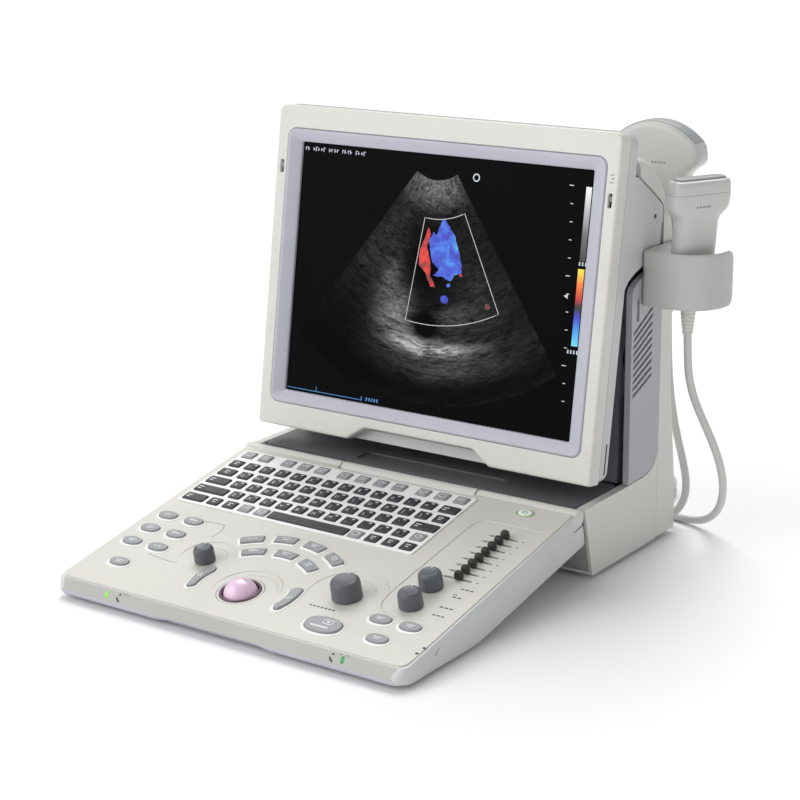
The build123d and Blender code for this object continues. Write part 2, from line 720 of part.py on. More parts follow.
with BuildPart() as keyboard_top:
    # stepped rim and plate
    with BuildSketch(keyp(-6.2)):
        with Locations((0, -(2.6 + V_FRONT + 2.6) / 2 - 0.0)):
            RectangleRounded(356.4, V_FRONT, 9)
    extrude(amount=5.2)
    with BuildSketch(keyp(-1.0)):
        with Locations((0, -(3.4 + V_FRONT + 1.8) / 2)):
            RectangleRounded(350.8, V_FRONT - 3.2, 7)
    extrude(amount=1.0)
    with BuildSketch(keyp(-6.3)):
        with Locations((0, -(2.6 + V_FRONT + 2.6) / 2)):
            RectangleRounded(351.0, V_FRONT - 5.4, 7)
    extrude(amount=3.6, mode=Mode.SUBTRACT)
    # raised island round the slider bank
    with BuildSketch(keyp(0.0)):
        with Locations((142.0, -97.0)):
            RectangleRounded(58, 104, 12)
    extrude(amount=0.5)
    # hinge barrels left and right
    for x0, x1 in ((-175.0, -67.2), (77.7, 175.0)):
        with BuildSketch(side(x0)):
            with Locations((HINGE_Y, HINGE_Z)):
                Circle(HINGE_R)
        extrude(amount=x1 - x0)
    # room for the centre knuckle
    with BuildSketch(side(-67.2)):
        with Locations((HINGE_Y, HINGE_Z)):
            Circle(HINGE_R + 1.2)
    extrude(amount=144.9, mode=Mode.SUBTRACT)
    with BuildSketch(keyp(-6.4)):
        with Locations((5.25, 3.0)):
            Rectangle(144.9, 24.0)
    extrude(amount=20, mode=Mode.SUBTRACT)
    with BuildSketch(side(-180)):
        with Locations((HINGE_Y, HINGE_Z)):
            Circle(3.05)
    extrude(amount=360, mode=Mode.SUBTRACT)
    # window of the key field
    with BuildSketch(keyp(-8)):
        with Locations((-41.2, -63.6)):
            RectangleRounded(255.0, 102.4, 3)
    extrude(amount=12, mode=Mode.SUBTRACT)
    # button, knob, ball and slider openings
    with BuildSketch(keyp(-8)):
        with Locations(*kp(L_OVALS + R_OVALS)):
            Ellipse(10.2, 6.2)
        with Locations(*kp([FREEZE])):
            Ellipse(17.3, 11.3)
        with Locations(*kp([POWER])):
            Ellipse(7.2, 5.2)
        with Locations(*kp([BALL])):
            Circle(20.2)
        for r, t in ARC_KEYS:
            arc_key(r, t, 21.0, 9.6, 0.8)
        for s, _, _ in SETS:
            set_key(s, 0.8)
        with Locations(*kp([(k[0], k[1]) for k in KNOBS.values()])):
            Circle(3.06)
        with Locations(*kp([(142.0, v) for v in SLIDER_V])):
            Rectangle(27.0, 2.6)
    extrude(amount=14, mode=Mode.SUBTRACT)
done(keyboard_top, "keyboard_top")

with BuildPart() as keyboard_bottom:
    zf = 2.5            # flat underside rests just above the table on its feet

    def h_at(v, z):
        return (z - KEY_Z + v * sin(b)) / cos(b)

    with BuildSketch(key_side(-HALF_W)):
        Polygon((-6.8, -14.8), (-6.8, -34.5), (166.0, -34.5), (176.0, h_at(176.0, zf)), (257.0, h_at(257.0, zf)),
                (257.0, -6.5), (8.4, -6.5), (8.4, -14.8), align=None)
    extrude(amount=-2 * HALF_W)
    with BuildSketch(key_side(-HALF_W + 2.5)):
        Polygon((10.9, -5.0), (10.9, -17.3), (-4.3, -17.3), (-4.3, -32.0), (165.5, -32.0), (176.0, h_at(176.0, zf + 2.5)), (254.4, h_at(254.4, zf + 2.5)), (254.4, -5.0), align=None)
    extrude(amount=-2 * (HALF_W - 2.5), mode=Mode.SUBTRACT)
    # rear wall opens for the knuckle web
    with BuildSketch(side(-67.4)):
        with Locations((HINGE_Y, HINGE_Z)):
            Circle(HINGE_R + 1.2)
        Polygon((HINGE_Y, 52.5), (HINGE_Y, 75), (0, 75), (0, 52.5), align=None)
    extrude(amount=145.3, mode=Mode.SUBTRACT)
done(keyboard_bottom, "keyboard_bottom")

with BuildPart() as front_bumper:
    with BuildSketch(key_side(-176.5)):
        Polygon((257.3, -1.1), (259.5, -1.4), (264.2, -6.0), (265.2, -11.0), (262.8, -15.2), (257.3, -16.4), align=None)
    extrude(amount=-353)
    # finger notch for lifting the keyboard
    with BuildSketch(keyp(-20)):
        with Locations((-8, -266.6)):
            RectangleRounded(104, 5.0, 2.2)
    extrude(amount=8.5, mode=Mode.SUBTRACT)
done(front_bumper, "front_bumper")

with BuildPart() as key_surround:
    with BuildSketch(keyp(-2.4)):
        with Locations((-41.2, -63.6)):
            RectangleRounded(254.4, 101.8, 2.8)
        with Locations(*kp(F_KEYS + ROW1 + ROW2 + ROW3 + ROW4 + ROW5 + GREY)):
            Rectangle(KW + 0.8, KD + 0.8, mode=Mode.SUBTRACT)
        for p, w in WIDE + [SPACE]:
            with Locations(*kp([p])):
                Rectangle(w + 0.8, KD + 0.8, mode=Mode.SUBTRACT)
    extrude(amount=2.4)
done(key_surround, "key_surround")

with BuildPart() as keyboard_pcb:
    with BuildSketch(keyp(-9.0)):
        with Locations((0, -121.0)):
            Rectangle(336, 210)
        with Locations(*kp([BALL])):
            Circle(21, mode=Mode.SUBTRACT)
        with Locations(*kp([(k[0], k[1]) for k in KNOBS.values()])):
            Circle(3.4, mode=Mode.SUBTRACT)
    extrude(amount=1.6)
done(keyboard_pcb, "keyboard_pcb")

with BuildPart() as trackball_ring:
    with BuildSketch(keyp(-2.9)):
        with Locations(*kp([BALL])):
            Circle(19.9)
            Circle(15.2, mode=Mode.SUBTRACT)
    extrude(amount=4.1)
    # race below the ball
    with BuildSketch(keyp(-15.6)):
        with Locations(*kp([BALL])):
            Circle(19.9)
            Circle(15.4, mode=Mode.SUBTRACT)
    extrude(amount=12.7)
done(trackball_ring, "trackball_ring")

with BuildPart() as trackball:
    with BuildSketch(Plane(keyp(BALL_H).from_local_coords(Vector(BALL[0], -BALL[1], 0)), x_dir=(1, 0, 0), z_dir=keyp().y_dir)):
        with BuildLine():
            Line((0, -BALL_R), (0, BALL_R))
            ThreePointArc((0, BALL_R), (BALL_R, 0), (0, -BALL_R))
        make_face()
    revolve(axis=Axis(keyp(BALL_H).from_local_coords(Vector(BALL[0], -BALL[1], 0)), keyp().z_dir))
done(trackball, "trackball")


def key_bank(keys, wides=(), top=2.6):
    with BuildPart() as p:
        with BuildSketch(keyp(-2.8)):
            if keys:
                with Locations(*kp(keys)):
                    Rectangle(KW, KD)
            for q, w in wides:
                with Locations(*kp([q])):
                    Rectangle(w, KD)
        extrude(amount=top + 2.8, taper=5)
    return p


function_keys = key_bank(F_KEYS + GREY)
done(function_keys, "function_keys")
letter_keys = key_bank(ROW1 + ROW2 + ROW3 + ROW4 + ROW5, WIDE)
done(letter_keys, "letter_keys")
space_bar = key_bank([], [SPACE])
done(space_bar, "space_bar")

with BuildPart() as oval_buttons:
    with BuildSketch(keyp(-3.0)):
        with Locations(*kp(L_OVALS + R_OVALS)):
            Ellipse(9.8, 5.8)
    extrude(amount=4.6, taper=6)
done(oval_buttons, "oval_buttons")

with BuildPart() as arc_buttons:
    with BuildSketch(keyp(-3.0)):
        for r, t in ARC_KEYS:
            arc_key(r, t, 21.0, 9.6)
    extrude(amount=4.6, taper=6)
done(arc_buttons, "arc_buttons")

with BuildPart() as set_buttons:
    with BuildSketch(keyp(-3.0)):
        for s, _, _ in SETS:
            set_key(s)
    extrude(amount=5.0, taper=6)
done(set_buttons, "set_buttons")

with BuildPart() as freeze_button:
    with BuildSketch(keyp(-3.0)):
        with Locations(*kp([FREEZE])):
            Ellipse(16.9, 10.9)
    extrude(amount=4.8, taper=6)
done(freeze_button, "freeze_button")

with BuildPart() as power_button:
    with BuildSketch(keyp(-3.0)):
        with Locations(*kp([POWER])):
            Ellipse(6.8, 4.8)
    extrude(amount=4.2, taper=6)
done(power_button, "power_button")

for name, (kx, kv, kr, kh) in KNOBS.items():
    with BuildPart() as knob:
        with BuildSketch(keyp(0.7)):
            with Locations((kx, -kv)):
                Circle(kr)
        extrude(amount=kh - 2.0)
        with BuildSketch(keyp(0.7 + kh - 2.0)):
            with Locations((kx, -kv)):
                Circle(kr)
        extrude(amount=2.0, taper=40)
        with BuildSketch(keyp(-12.0)):
            with Locations((kx, -kv)):
                Circle(3.0)
        extrude(amount=13.0)
    done(knob, name)

for i, v in enumerate(SLIDER_V):
    with BuildPart() as slider:
        with BuildSketch(keyp(1.1)):
            with Locations((SLIDER_X, -v)):
                RectangleRounded(7.0, 5.6, 1.4)
        extrude(amount=6.4)
        with BuildSketch(keyp(-6.6)):
            with Locations((SLIDER_X, -v)):
                Rectangle(3.4, 1.8)
        extrude(amount=8.0)
    done(slider, "tgc_slider_" + str(i + 1))

with BuildPart() as keyboard_feet:
    with BuildSketch(level(0)):
        with Locations((-135, -258), (135, -258)):
            RectangleRounded(30, 9, 3)
    extrude(amount=zf - 0.05)
done(keyboard_feet, "keyboard_feet")
print("done")
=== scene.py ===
from math import sin, cos, radians, pi, atan2, hypot, sqrt
import bpy
import bmesh
from mathutils import Vector, Matrix


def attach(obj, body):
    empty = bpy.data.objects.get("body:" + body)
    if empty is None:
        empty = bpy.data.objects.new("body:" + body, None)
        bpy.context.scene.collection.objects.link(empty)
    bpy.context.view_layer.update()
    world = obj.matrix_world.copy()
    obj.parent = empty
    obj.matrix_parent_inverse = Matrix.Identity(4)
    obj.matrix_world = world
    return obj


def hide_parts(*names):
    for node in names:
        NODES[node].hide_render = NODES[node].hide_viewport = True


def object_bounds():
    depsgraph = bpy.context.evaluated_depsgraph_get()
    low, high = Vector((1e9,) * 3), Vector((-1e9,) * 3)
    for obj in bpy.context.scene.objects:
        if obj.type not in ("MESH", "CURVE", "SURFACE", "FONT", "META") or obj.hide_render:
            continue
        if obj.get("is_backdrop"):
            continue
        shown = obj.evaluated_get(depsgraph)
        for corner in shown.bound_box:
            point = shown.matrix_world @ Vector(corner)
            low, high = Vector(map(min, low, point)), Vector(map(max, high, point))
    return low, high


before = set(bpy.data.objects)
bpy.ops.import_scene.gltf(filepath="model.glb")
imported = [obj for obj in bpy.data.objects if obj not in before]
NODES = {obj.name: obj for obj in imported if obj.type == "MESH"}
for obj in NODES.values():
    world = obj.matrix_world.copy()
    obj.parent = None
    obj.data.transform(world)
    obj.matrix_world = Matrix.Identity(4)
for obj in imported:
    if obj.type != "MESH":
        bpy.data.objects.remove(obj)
CAD_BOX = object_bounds()
SCN = bpy.context.scene

# ------------------------------------------------------------ frames (inputs in mm, results in m)
OX, OY = -31.5, 49.155
A, B = radians(8.94), radians(11.11)
SCREEN_Y, SCREEN_Z = 21.7, 231.0
KEY_Y, KEY_Z = -23.9, 67.85


def U(x, y, z):
    return Vector(((x + OX) / 1000, (y + OY) / 1000, z / 1000))


def D(x, w, n):
    """On the display: x right, w up the screen, n out of it."""
    return U(x, SCREEN_Y + w * sin(A) - n * cos(A), SCREEN_Z + w * cos(A) + n * sin(A))


def K(x, v, h):
    """On the key plate: x right, v from its rear edge to the front, h above it."""
    return U(x, KEY_Y - v * cos(B) - h * sin(B), KEY_Z - v * sin(B) + h * cos(B))


# ------------------------------------------------------------ camera
C = Vector((961.671 + OX, -1386.531 + OY, 613.703)) / 1000
az, el, roll = radians(35.31), radians(15.93), -0.010
fwd = Vector((-sin(az) * cos(el), cos(az) * cos(el), -sin(el)))
right = Vector((cos(az), sin(az), 0))
up = right.cross(fwd)
r_ = cos(roll) * right + sin(roll) * up
u_ = -sin(roll) * right + cos(roll) * up
cam_d = bpy.data.cameras.new("cam")
cam_d.lens = 89.39
cam_d.sensor_width = 36
cam_d.clip_start = 0.05
cam_d.clip_end = 60
cam = bpy.data.objects.new("cam", cam_d)
SCN.collection.objects.link(cam)
cam.matrix_world = Matrix(((r_.x, u_.x, -fwd.x, C.x), (r_.y, u_.y, -fwd.y, C.y), (r_.z, u_.z, -fwd.z, C.z), (0, 0, 0, 1)))
SCN.camera = cam


# ------------------------------------------------------------ materials
def new_mat(name):
    m = bpy.data.materials.new(name)
    m.use_nodes = True
    nt = m.node_tree
    nt.nodes.clear()
    out = nt.nodes.new("ShaderNodeOutputMaterial")
    p = nt.nodes.new("ShaderNodeBsdfPrincipled")
    nt.links.new(p.outputs[0], out.inputs[0])
    return m, nt, p


def node(nt, kind, **kw):
    n = nt.nodes.new(kind)
    for k, v in kw.items():
        if k in n.inputs:
            n.inputs[k].default_value = v
        else:
            setattr(n, k, v)
    return n


def ramp(nt, stops):
    n = nt.nodes.new("ShaderNodeValToRGB")
    e = n.color_ramp.elements
    while len(e) > 1:
        e.remove(e[-1])
    e[0].position = stops[0][0]
    e[0].color = tuple(stops[0][1]) + (1,)
    for p, c in stops[1:]:
        x = e.new(p)
        x.color = tuple(c) + (1,)
    return n


def srgb(h):
    v = [int(h[i:i + 2], 16) / 255 for i in (0, 2, 4)]
    return tuple(c / 12.92 if c <= 0.04045 else ((c + 0.055) / 1.055) ** 2.4 for c in v)


def plastic(name, hexcol, rough=0.42, grain=1400.0, bump=0.12, var=0.035, coat=0.0, spec=0.5, blotch=9.0, rvar=0.05):
    """Moulded plastic: fine spark texture, slow tone drift and uneven gloss."""
    m, nt, p = new_mat(name)
    c = srgb(hexcol)
    tc = node(nt, "ShaderNodeTexCoord")
    n1 = node(nt, "ShaderNodeTexNoise", Scale=blotch, Detail=4.0, Roughness=0.6)
    n2 = node(nt, "ShaderNodeTexNoise", Scale=grain, Detail=3.0, Roughness=0.65)
    n3 = node(nt, "ShaderNodeTexNoise", Scale=blotch * 14, Detail=5.0, Roughness=0.7)
    for n in (n1, n2, n3):
        nt.links.new(tc.outputs["Object"], n.inputs["Vector"])
    lo = [x * (1 - var) for x in c]
    hi = [min(1, x * (1 + var)) for x in c]
    rm = ramp(nt, [(0.3, lo), (0.7, hi)])
    nt.links.new(n1.outputs["Fac"], rm.inputs["Fac"])
    rm2 = ramp(nt, [(0.35, (1 - var * 0.6,) * 3), (0.65, (1, 1, 1))])
    nt.links.new(n2.outputs["Fac"], rm2.inputs["Fac"])
    mx = node(nt, "ShaderNodeMix", data_type="RGBA", blend_type="MULTIPLY")
    mx.inputs[0].default_value = 1.0
    nt.links.new(rm.outputs["Color"], mx.inputs[6])
    nt.links.new(rm2.outputs["Color"], mx.inputs[7])
    nt.links.new(mx.outputs[2], p.inputs["Base Color"])
    mr = node(nt, "ShaderNodeMapRange")
    mr.inputs["To Min"].default_value = max(0.02, rough - rvar)
    mr.inputs["To Max"].default_value = rough + rvar
    nt.links.new(n3.outputs["Fac"], mr.inputs["Value"])
    nt.links.new(mr.outputs[0], p.inputs["Roughness"])
    bp = node(nt, "ShaderNodeBump", Strength=bump, Distance=0.00025)
    nt.links.new(n2.outputs["Fac"], bp.inputs["Height"])
    nt.links.new(bp.outputs[0], p.inputs["Normal"])
    p.inputs["Specular IOR Level"].default_value = spec
    if coat:
        p.inputs["Coat Weight"].default_value = coat
        p.inputs["Coat Roughness"].default_value = 0.15
    return m


def brushed(name, hexcol, rough=0.32, axis=0):
    m, nt, p = new_mat(name)
    c = srgb(hexcol)
    tc = node(nt, "ShaderNodeTexCoord")
    mp = node(nt, "ShaderNodeMapping")
    s = [900, 900, 900]
    s[axis] = 14
    mp.inputs["Scale"].default_value = s
    nt.links.new(tc.outputs["Object"], mp.inputs["Vector"])
    n2 = node(nt, "ShaderNodeTexNoise", Scale=1.0, Detail=5.0, Roughness=0.7)
    nt.links.new(mp.outputs[0], n2.inputs["Vector"])
    rm = ramp(nt, [(0.3, [x * 0.78 for x in c]), (0.7, [min(1, x * 1.12) for x in c])])
    nt.links.new(n2.outputs["Fac"], rm.inputs["Fac"])
    nt.links.new(rm.outputs["Color"], p.inputs["Base Color"])
    p.inputs["Metallic"].default_value = 1.0
    mr = node(nt, "ShaderNodeMapRange")
    mr.inputs["To Min"].default_value = rough - 0.08
    mr.inputs["To Max"].default_value = rough + 0.12
    nt.links.new(n2.outputs["Fac"], mr.inputs["Value"])
    nt.links.new(mr.outputs[0], p.inputs["Roughness"])
    bp = node(nt, "ShaderNodeBump", Strength=0.12, Distance=0.0001)
    nt.links.new(n2.outputs["Fac"], bp.inputs["Height"])
    nt.links.new(bp.outputs[0], p.inputs["Normal"])
    return m


def glow(name, hexcol, strength, var=0.25, scale=500.0):
    m, nt, p = new_mat(name)
    c = srgb(hexcol)
    tc = node(nt, "ShaderNodeTexCoord")
    n2 = node(nt, "ShaderNodeTexNoise", Scale=scale, Detail=3.0, Roughness=0.6)
    nt.links.new(tc.outputs["Object"], n2.inputs["Vector"])
    rm = ramp(nt, [(0.3, [x * (1 - var) for x in c]), (0.7, [min(1, x * (1 + var)) for x in c])])
    nt.links.new(n2.outputs["Fac"], rm.inputs["Fac"])
    nt.links.new(rm.outputs["Color"], p.inputs["Emission Color"])
    nt.links.new(rm.outputs["Color"], p.inputs["Base Color"])
    p.inputs["Emission Strength"].default_value = strength
    p.inputs["Roughness"].default_value = 0.3
    return m


IVORY = plastic("ivory_plastic", "DEDDD8", 0.40, bump=0.10)
PLATE = plastic("ivory_plate", "D8D6CF", 0.46, bump=0.14)
COOL = plastic("cool_grey_plastic", "D6D7D8", 0.42)
LAV = plastic("lavender_plastic", "BFBFCC", 0.30, bump=0.08)
BUMP = plastic("bumper_grey", "B9BAB5", 0.42)
PANEL = plastic("side_panel_grey", "B4B5BA", 0.45)
DARK = plastic("dark_deck_plastic", "3B3B40", 0.5, bump=0.2, var=0.08)
DECK = plastic("deck_grey_plastic", "68686C", 0.46, bump=0.2, var=0.07)
FRAMEGREY = plastic("frame_grey_plastic", "6E6E79", 0.5, bump=0.15, var=0.05)
GRILLE = plastic("grille_grey_plastic", "A9A9A8", 0.46, bump=0.12)
ARMGREY = plastic("arm_grey_plastic", "CFCFD1", 0.4, bump=0.1)
# near-black: the fan rotor's own colour, and painted shade on the floor under the key plate and on the bodies of the
# slot catches
DARK_AND_RECESS_SHADE = plastic("dark_plastic_and_painted_recess_shade", "2A2A2E", 0.6, bump=0.2, var=0.1)
KEYBLACK = plastic("key_black", "34363A", 0.48, grain=2200, bump=0.16, var=0.08)
KEYGREY = plastic("key_grey", "9A9C9E", 0.45, grain=2200, bump=0.12)
BTNGREY = plastic("button_grey", "9B9DA0", 0.42, grain=2200, bump=0.12)
KEYWHITE = plastic("key_field_white", "FAFAF9", 0.4, bump=0.06)
RIMWHITE = plastic("button_rim_white", "F8F8F8", 0.38, bump=0.06)
KNOB = plastic("knob_dark", "5E6267", 0.36, grain=1800, bump=0.16, var=0.07)
KNOBTOP = plastic("knob_cap", "63676C", 0.32, grain=1800, bump=0.1, var=0.06)
SLIDE = plastic("slider_black", "2C2B29", 0.45, bump=0.15, var=0.1)
RING = plastic("ball_ring_plastic", "5A4650", 0.3, bump=0.06)
INK = plastic("grey_ink", "8E8E8C", 0.6, bump=0.03)
INKDARK = plastic("dark_ink", "4A4A4A", 0.6, bump=0.03)
LEGEND = plastic("legend_white", "DCDDDE", 0.55, bump=0.03)
LEGGREY = plastic("legend_grey", "E4E5E6", 0.55, bump=0.03)
PROBE = plastic("probe_white", "CFCFCC", 0.30, grain=900, bump=0.05, coat=0.25)
LENS = plastic("probe_lens", "4C4E52", 0.35, bump=0.04)
LENSGREY = plastic("probe_lens_grey", "9FA1A4", 0.4, bump=0.04)
CUP = plastic("cup_grey", "C2C2C0", 0.38, bump=0.10)
RUBBER = plastic("rubber_black", "1E1E1E", 0.7, grain=900, bump=0.3, var=0.15)
CABLE = plastic("cable_grey", "D3D4D2", 0.5, grain=700, bump=0.10)
RELIEF = plastic("relief_grey", "DADAD7", 0.46, grain=700, bump=0.10)
CONNECT = plastic("connector_grey", "8C8D90", 0.42, bump=0.15)
STEEL = brushed("brushed_steel", "BFC0C2")
BOARD = plastic("solder_mask", "1C5A36", 0.3, grain=300, bump=0.2, var=0.25)
BATT = plastic("battery_black", "262628", 0.5, bump=0.2, var=0.1)
GREEN = glow("green_lamp", "7FC93A", 0.55)
RINGGREEN = plastic("ring_green", "A5C587", 0.35, bump=0.05)
GREEND = glow("green_lamp_dim", "2F8A2A", 0.4)
BLACKDOT = plastic("black_dot", "1A1A1A", 0.4, var=0.1)

# pink ball: soft marbling below a polished coat
BALL, nt, p = new_mat("pink_ball")
tc = node(nt, "ShaderNodeTexCoord")
n1 = node(nt, "ShaderNodeTexNoise", Scale=90.0, Detail=6.0, Roughness=0.6, Distortion=1.2)
nt.links.new(tc.outputs["Object"], n1.inputs["Vector"])
rm = ramp(nt, [(0.3, srgb("EFC6E5")), (0.7, srgb("F8DDF3"))])
nt.links.new(n1.outputs["Fac"], rm.inputs["Fac"])
nt.links.new(rm.outputs["Color"], p.inputs["Base Color"])
p.inputs["Roughness"].default_value = 0.16
p.inputs["Coat Weight"].default_value = 0.6
p.inputs["Subsurface Weight"].default_value = 0.15
p.inputs["Subsurface Scale"].default_value = 0.003
mr = node(nt, "ShaderNodeMapRange")
mr.inputs["To Min"].default_value = 0.12
mr.inputs["To Max"].default_value = 0.24
nt.links.new(n1.outputs["Fac"], mr.inputs["Value"])
nt.links.new(mr.outputs[0], p.inputs["Roughness"])


# ------------------------------------------------------------ mesh helpers
ALL = []


def finish_obj(name, bm, mats, angle=32.0, body="keyboard", replaces=()):
    bmesh.ops.remove_doubles(bm, verts=bm.verts, dist=2e-7)
    bmesh.ops.recalc_face_normals(bm, faces=bm.faces)
    me = bpy.data.meshes.new(name)
    bm.to_mesh(me)
    bm.free()
    for m in (mats if isinstance(mats, (list, tuple)) else [mats]):
        me.materials.append(m)
    for poly in me.polygons:
        poly.use_smooth = True
    me.set_sharp_from_angle(angle=radians(angle))
    o = bpy.data.objects.new(name, me)
    SCN.collection.objects.link(o)
    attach(o, body)
    if replaces:
        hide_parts(*replaces)
    ALL.append(o)
    return o


def offset(pts, d):
    """Outline moved inwards by d (counter-clockwise outline)."""
    if abs(d) < 1e-9:
        return list(pts)
    n = len(pts)
    out = []
    for i in range(n):
        (x0, y0), (x1, y1), (x2, y2) = pts[i - 1], pts[i], pts[(i + 1) % n]
        ax, ay, bx, by = x1 - x0, y1 - y0, x2 - x1, y2 - y1
        la, lb = hypot(ax, ay) or 1e-9, hypot(bx, by) or 1e-9
        nx, ny = -(ay / la + by / lb), (ax / la + bx / lb)
        ln = hypot(nx, ny) or 1e-9
        nx, ny = nx / ln, ny / ln
        c = nx * (-by / lb) + ny * (bx / lb)
        k = d / max(c, 0.45)
        out.append((x1 + nx * k, y1 + ny * k))
    return out


def ccw(pts):
    s = sum(p[0] * q[1] - q[0] * p[1] for p, q in zip(pts, pts[1:] + pts[:1]))
    return list(pts) if s > 0 else list(pts)[::-1]


def rrect(x, y, w, h, r, k=6, rot=0.0):
    r = min(r, w / 2 - 1e-3, h / 2 - 1e-3)
    pts = []
    for cx, cy, a0 in ((w / 2 - r, h / 2 - r, 0), (-w / 2 + r, h / 2 - r, 90), (-w / 2 + r, -h / 2 + r, 180), (w / 2 - r, -h / 2 + r, 270)):
        for i in range(k + 1):
            t = radians(a0 + 90 * i / k)
            pts.append((cx + r * cos(t), cy + r * sin(t)))
    c, s = cos(radians(rot)), sin(radians(rot))
    return [(x + px * c - py * s, y + px * s + py * c) for px, py in pts]


def oval(x, y, a, b, n=40, p=2.0, rot=0.0):
    pts = []
    c, s = cos(radians(rot)), sin(radians(rot))
    for i in range(n):
        t = 2 * pi * i / n
        px = a * abs(cos(t)) ** (2 / p) * (1 if cos(t) >= 0 else -1)
        py = b * abs(sin(t)) ** (2 / p) * (1 if sin(t) >= 0 else -1)
        pts.append((x + px * c - py * s, y + px * s + py * c))
    return pts


def poly_round(pts, radii, k=6):
    """Polygon with rounded corners; radii one per corner."""
    out = []
    n = len(pts)
    for i in range(n):
        p0, p1, p2 = Vector(pts[i - 1]), Vector(pts[i]), Vector(pts[(i + 1) % n])
        r = radii[i] if isinstance(radii, (list, tuple)) else radii
        d0, d2 = (p0 - p1).normalized(), (p2 - p1).normalized()
        ang = d0.angle(d2)
        if r <= 0 or abs(ang - pi) < 1e-3:
            out.append(tuple(p1))
            continue
        t = min(r / max(1e-6, abs(sin(ang / 2) / cos(ang / 2))), (p0 - p1).length * 0.49, (p2 - p1).length * 0.49)
        a_, c_ = p1 + d0 * t, p1 + d2 * t
        for j in range(k + 1):
            s = j / k
            q = (1 - s) ** 2 * a_ + 2 * s * (1 - s) * p1 + s * s * c_
            out.append(tuple(q))
    return out


def loops_to(bm, loops, cap0=True, cap1=True, mat=0, fan=None):
    """Skin a list of closed 3-D loops of equal count."""
    rings = [[bm.verts.new(p) for p in lp] for lp in loops]
    n = len(rings[0])
    fs = []
    for a_, b_ in zip(rings, rings[1:]):
        for i in range(n):
            fs.append(bm.faces.new((a_[i], a_[(i + 1) % n], b_[(i + 1) % n], b_[i])))
    for cap, ring in ((cap0, rings[0]), (cap1, rings[-1])):
        if cap:
            c = sum((v.co for v in ring), Vector()) / n
            if fan is not None and ring is rings[-1]:
                c = c + fan
            cv = bm.verts.new(c)
            for i in range(n):
                fs.append(bm.faces.new((ring[i], ring[(i + 1) % n], cv)))
    for f in fs:
        f.material_index = mat
    return fs


def pad(bm, outline, layers, place, mat=0, fan=None):
    """Solid with the outline shrunk by inset at each height; place maps (x, y, h) to 3-D."""
    outline = ccw(outline)
    loops = []
    for ins, h in layers:
        loops.append([place(x, y, h) for x, y in offset(outline, ins)])
    f = None
    if fan is not None:
        f = place(0, 0, fan) - place(0, 0, 0)
    return loops_to(bm, loops, mat=mat, fan=f)


def plate(bm, outer, holes, lay_out, lay_in, place, mat=0):
    """Plate with holes. lay_out / lay_in: (inset into material, height), front first; ends must share heights."""
    outer = ccw(outer)
    holes = [ccw(h) for h in holes]
    fs = []
    ends = ([], [])
    for pts, lays, sg in [(outer, lay_out, 1)] + [(h, lay_in, -1) for h in holes]:
        rings = [[bm.verts.new(place(x, y, h)) for x, y in offset(pts, sg * ins)] for ins, h in lays]
        n = len(pts)
        for a_, b_ in zip(rings, rings[1:]):
            for i in range(n):
                fs.append(bm.faces.new((a_[i], a_[(i + 1) % n], b_[(i + 1) % n], b_[i])))
        for e, ring in ((0, rings[0]), (1, rings[-1])):
            for i in range(n):
                e_ = bm.edges.get((ring[i], ring[(i + 1) % n])) or bm.edges.new((ring[i], ring[(i + 1) % n]))
                ends[e].append(e_)
    for e in ends:
        r = bmesh.ops.triangle_fill(bm, use_beauty=True, use_dissolve=False, edges=e)
        fs += [g for g in r["geom"] if isinstance(g, bmesh.types.BMFace)]
    for f in fs:
        f.material_index = mat
    return fs


def kplace(x, y, h):
    return K(x, y, h)


def dplace(x, y, h):
    return D(x, y, h)


def strip(bm, pts, w, h0, h1, place, mat=0, closed=False):
    """Thin raised line of width w along 2-D points."""
    n = len(pts)
    L, R = [], []
    for i in range(n):
        p0 = pts[i - 1] if (i > 0 or closed) else pts[i]
        p2 = pts[(i + 1) % n] if (i < n - 1 or closed) else pts[i]
        dx, dy = p2[0] - p0[0], p2[1] - p0[1]
        l = hypot(dx, dy) or 1e-9
        nx, ny = -dy / l * w / 2, dx / l * w / 2
        L.append((pts[i][0] + nx, pts[i][1] + ny))
        R.append((pts[i][0] - nx, pts[i][1] - ny))
    quads = []
    for i in range(n):
        quads.append([bm.verts.new(place(*L[i], h0)), bm.verts.new(place(*L[i], h1)), bm.verts.new(place(*R[i], h1)), bm.verts.new(place(*R[i], h0))])
    m = n if closed else n - 1
    fs = []
    for i in range(m):
        q0, q1 = quads[i], quads[(i + 1) % n]
        for j in range(4):
            fs.append(bm.faces.new((q0[j], q0[(j + 1) % 4], q1[(j + 1) % 4], q1[j])))
    if not closed:
        fs.append(bm.faces.new(quads[0]))
        fs.append(bm.faces.new(quads[-1][::-1]))
    for f in fs:
        f.material_index = mat


def text_into(bm, s, x, y, size, place, h0, h1, mat=0, flip=True, rot=0.0, sx=1.0):
    """A generic character as a thin raised mesh, centred at x, y."""
    cu = bpy.data.curves.new("t", "FONT")
    cu.body = s
    cu.size = size
    cu.align_x = "CENTER"
    cu.align_y = "CENTER"
    cu.extrude = 0.5
    cu.resolution_u = 2
    ob = bpy.data.objects.new("t", cu)
    me = bpy.data.meshes.new_from_object(ob)
    b2 = bmesh.new()
    b2.from_mesh(me)
    bmesh.ops.remove_doubles(b2, verts=b2.verts, dist=1e-5)
    c_, s_ = cos(radians(rot)), sin(radians(rot))
    vm = {}
    for v in b2.verts:
        px, py = v.co.x * sx, v.co.y
        px, py = px * c_ - py * s_, px * s_ + py * c_
        vm[v] = bm.verts.new(place(x + px, y - py if flip else y + py, h1 if v.co.z > 0 else h0))
    for f in b2.faces:
        try:
            nf = bm.faces.new([vm[v] for v in f.verts])
            nf.material_index = mat
        except ValueError:
            pass
    b2.free()
    bpy.data.objects.remove(ob)
    bpy.data.curves.remove(cu)
    bpy.data.meshes.remove(me)


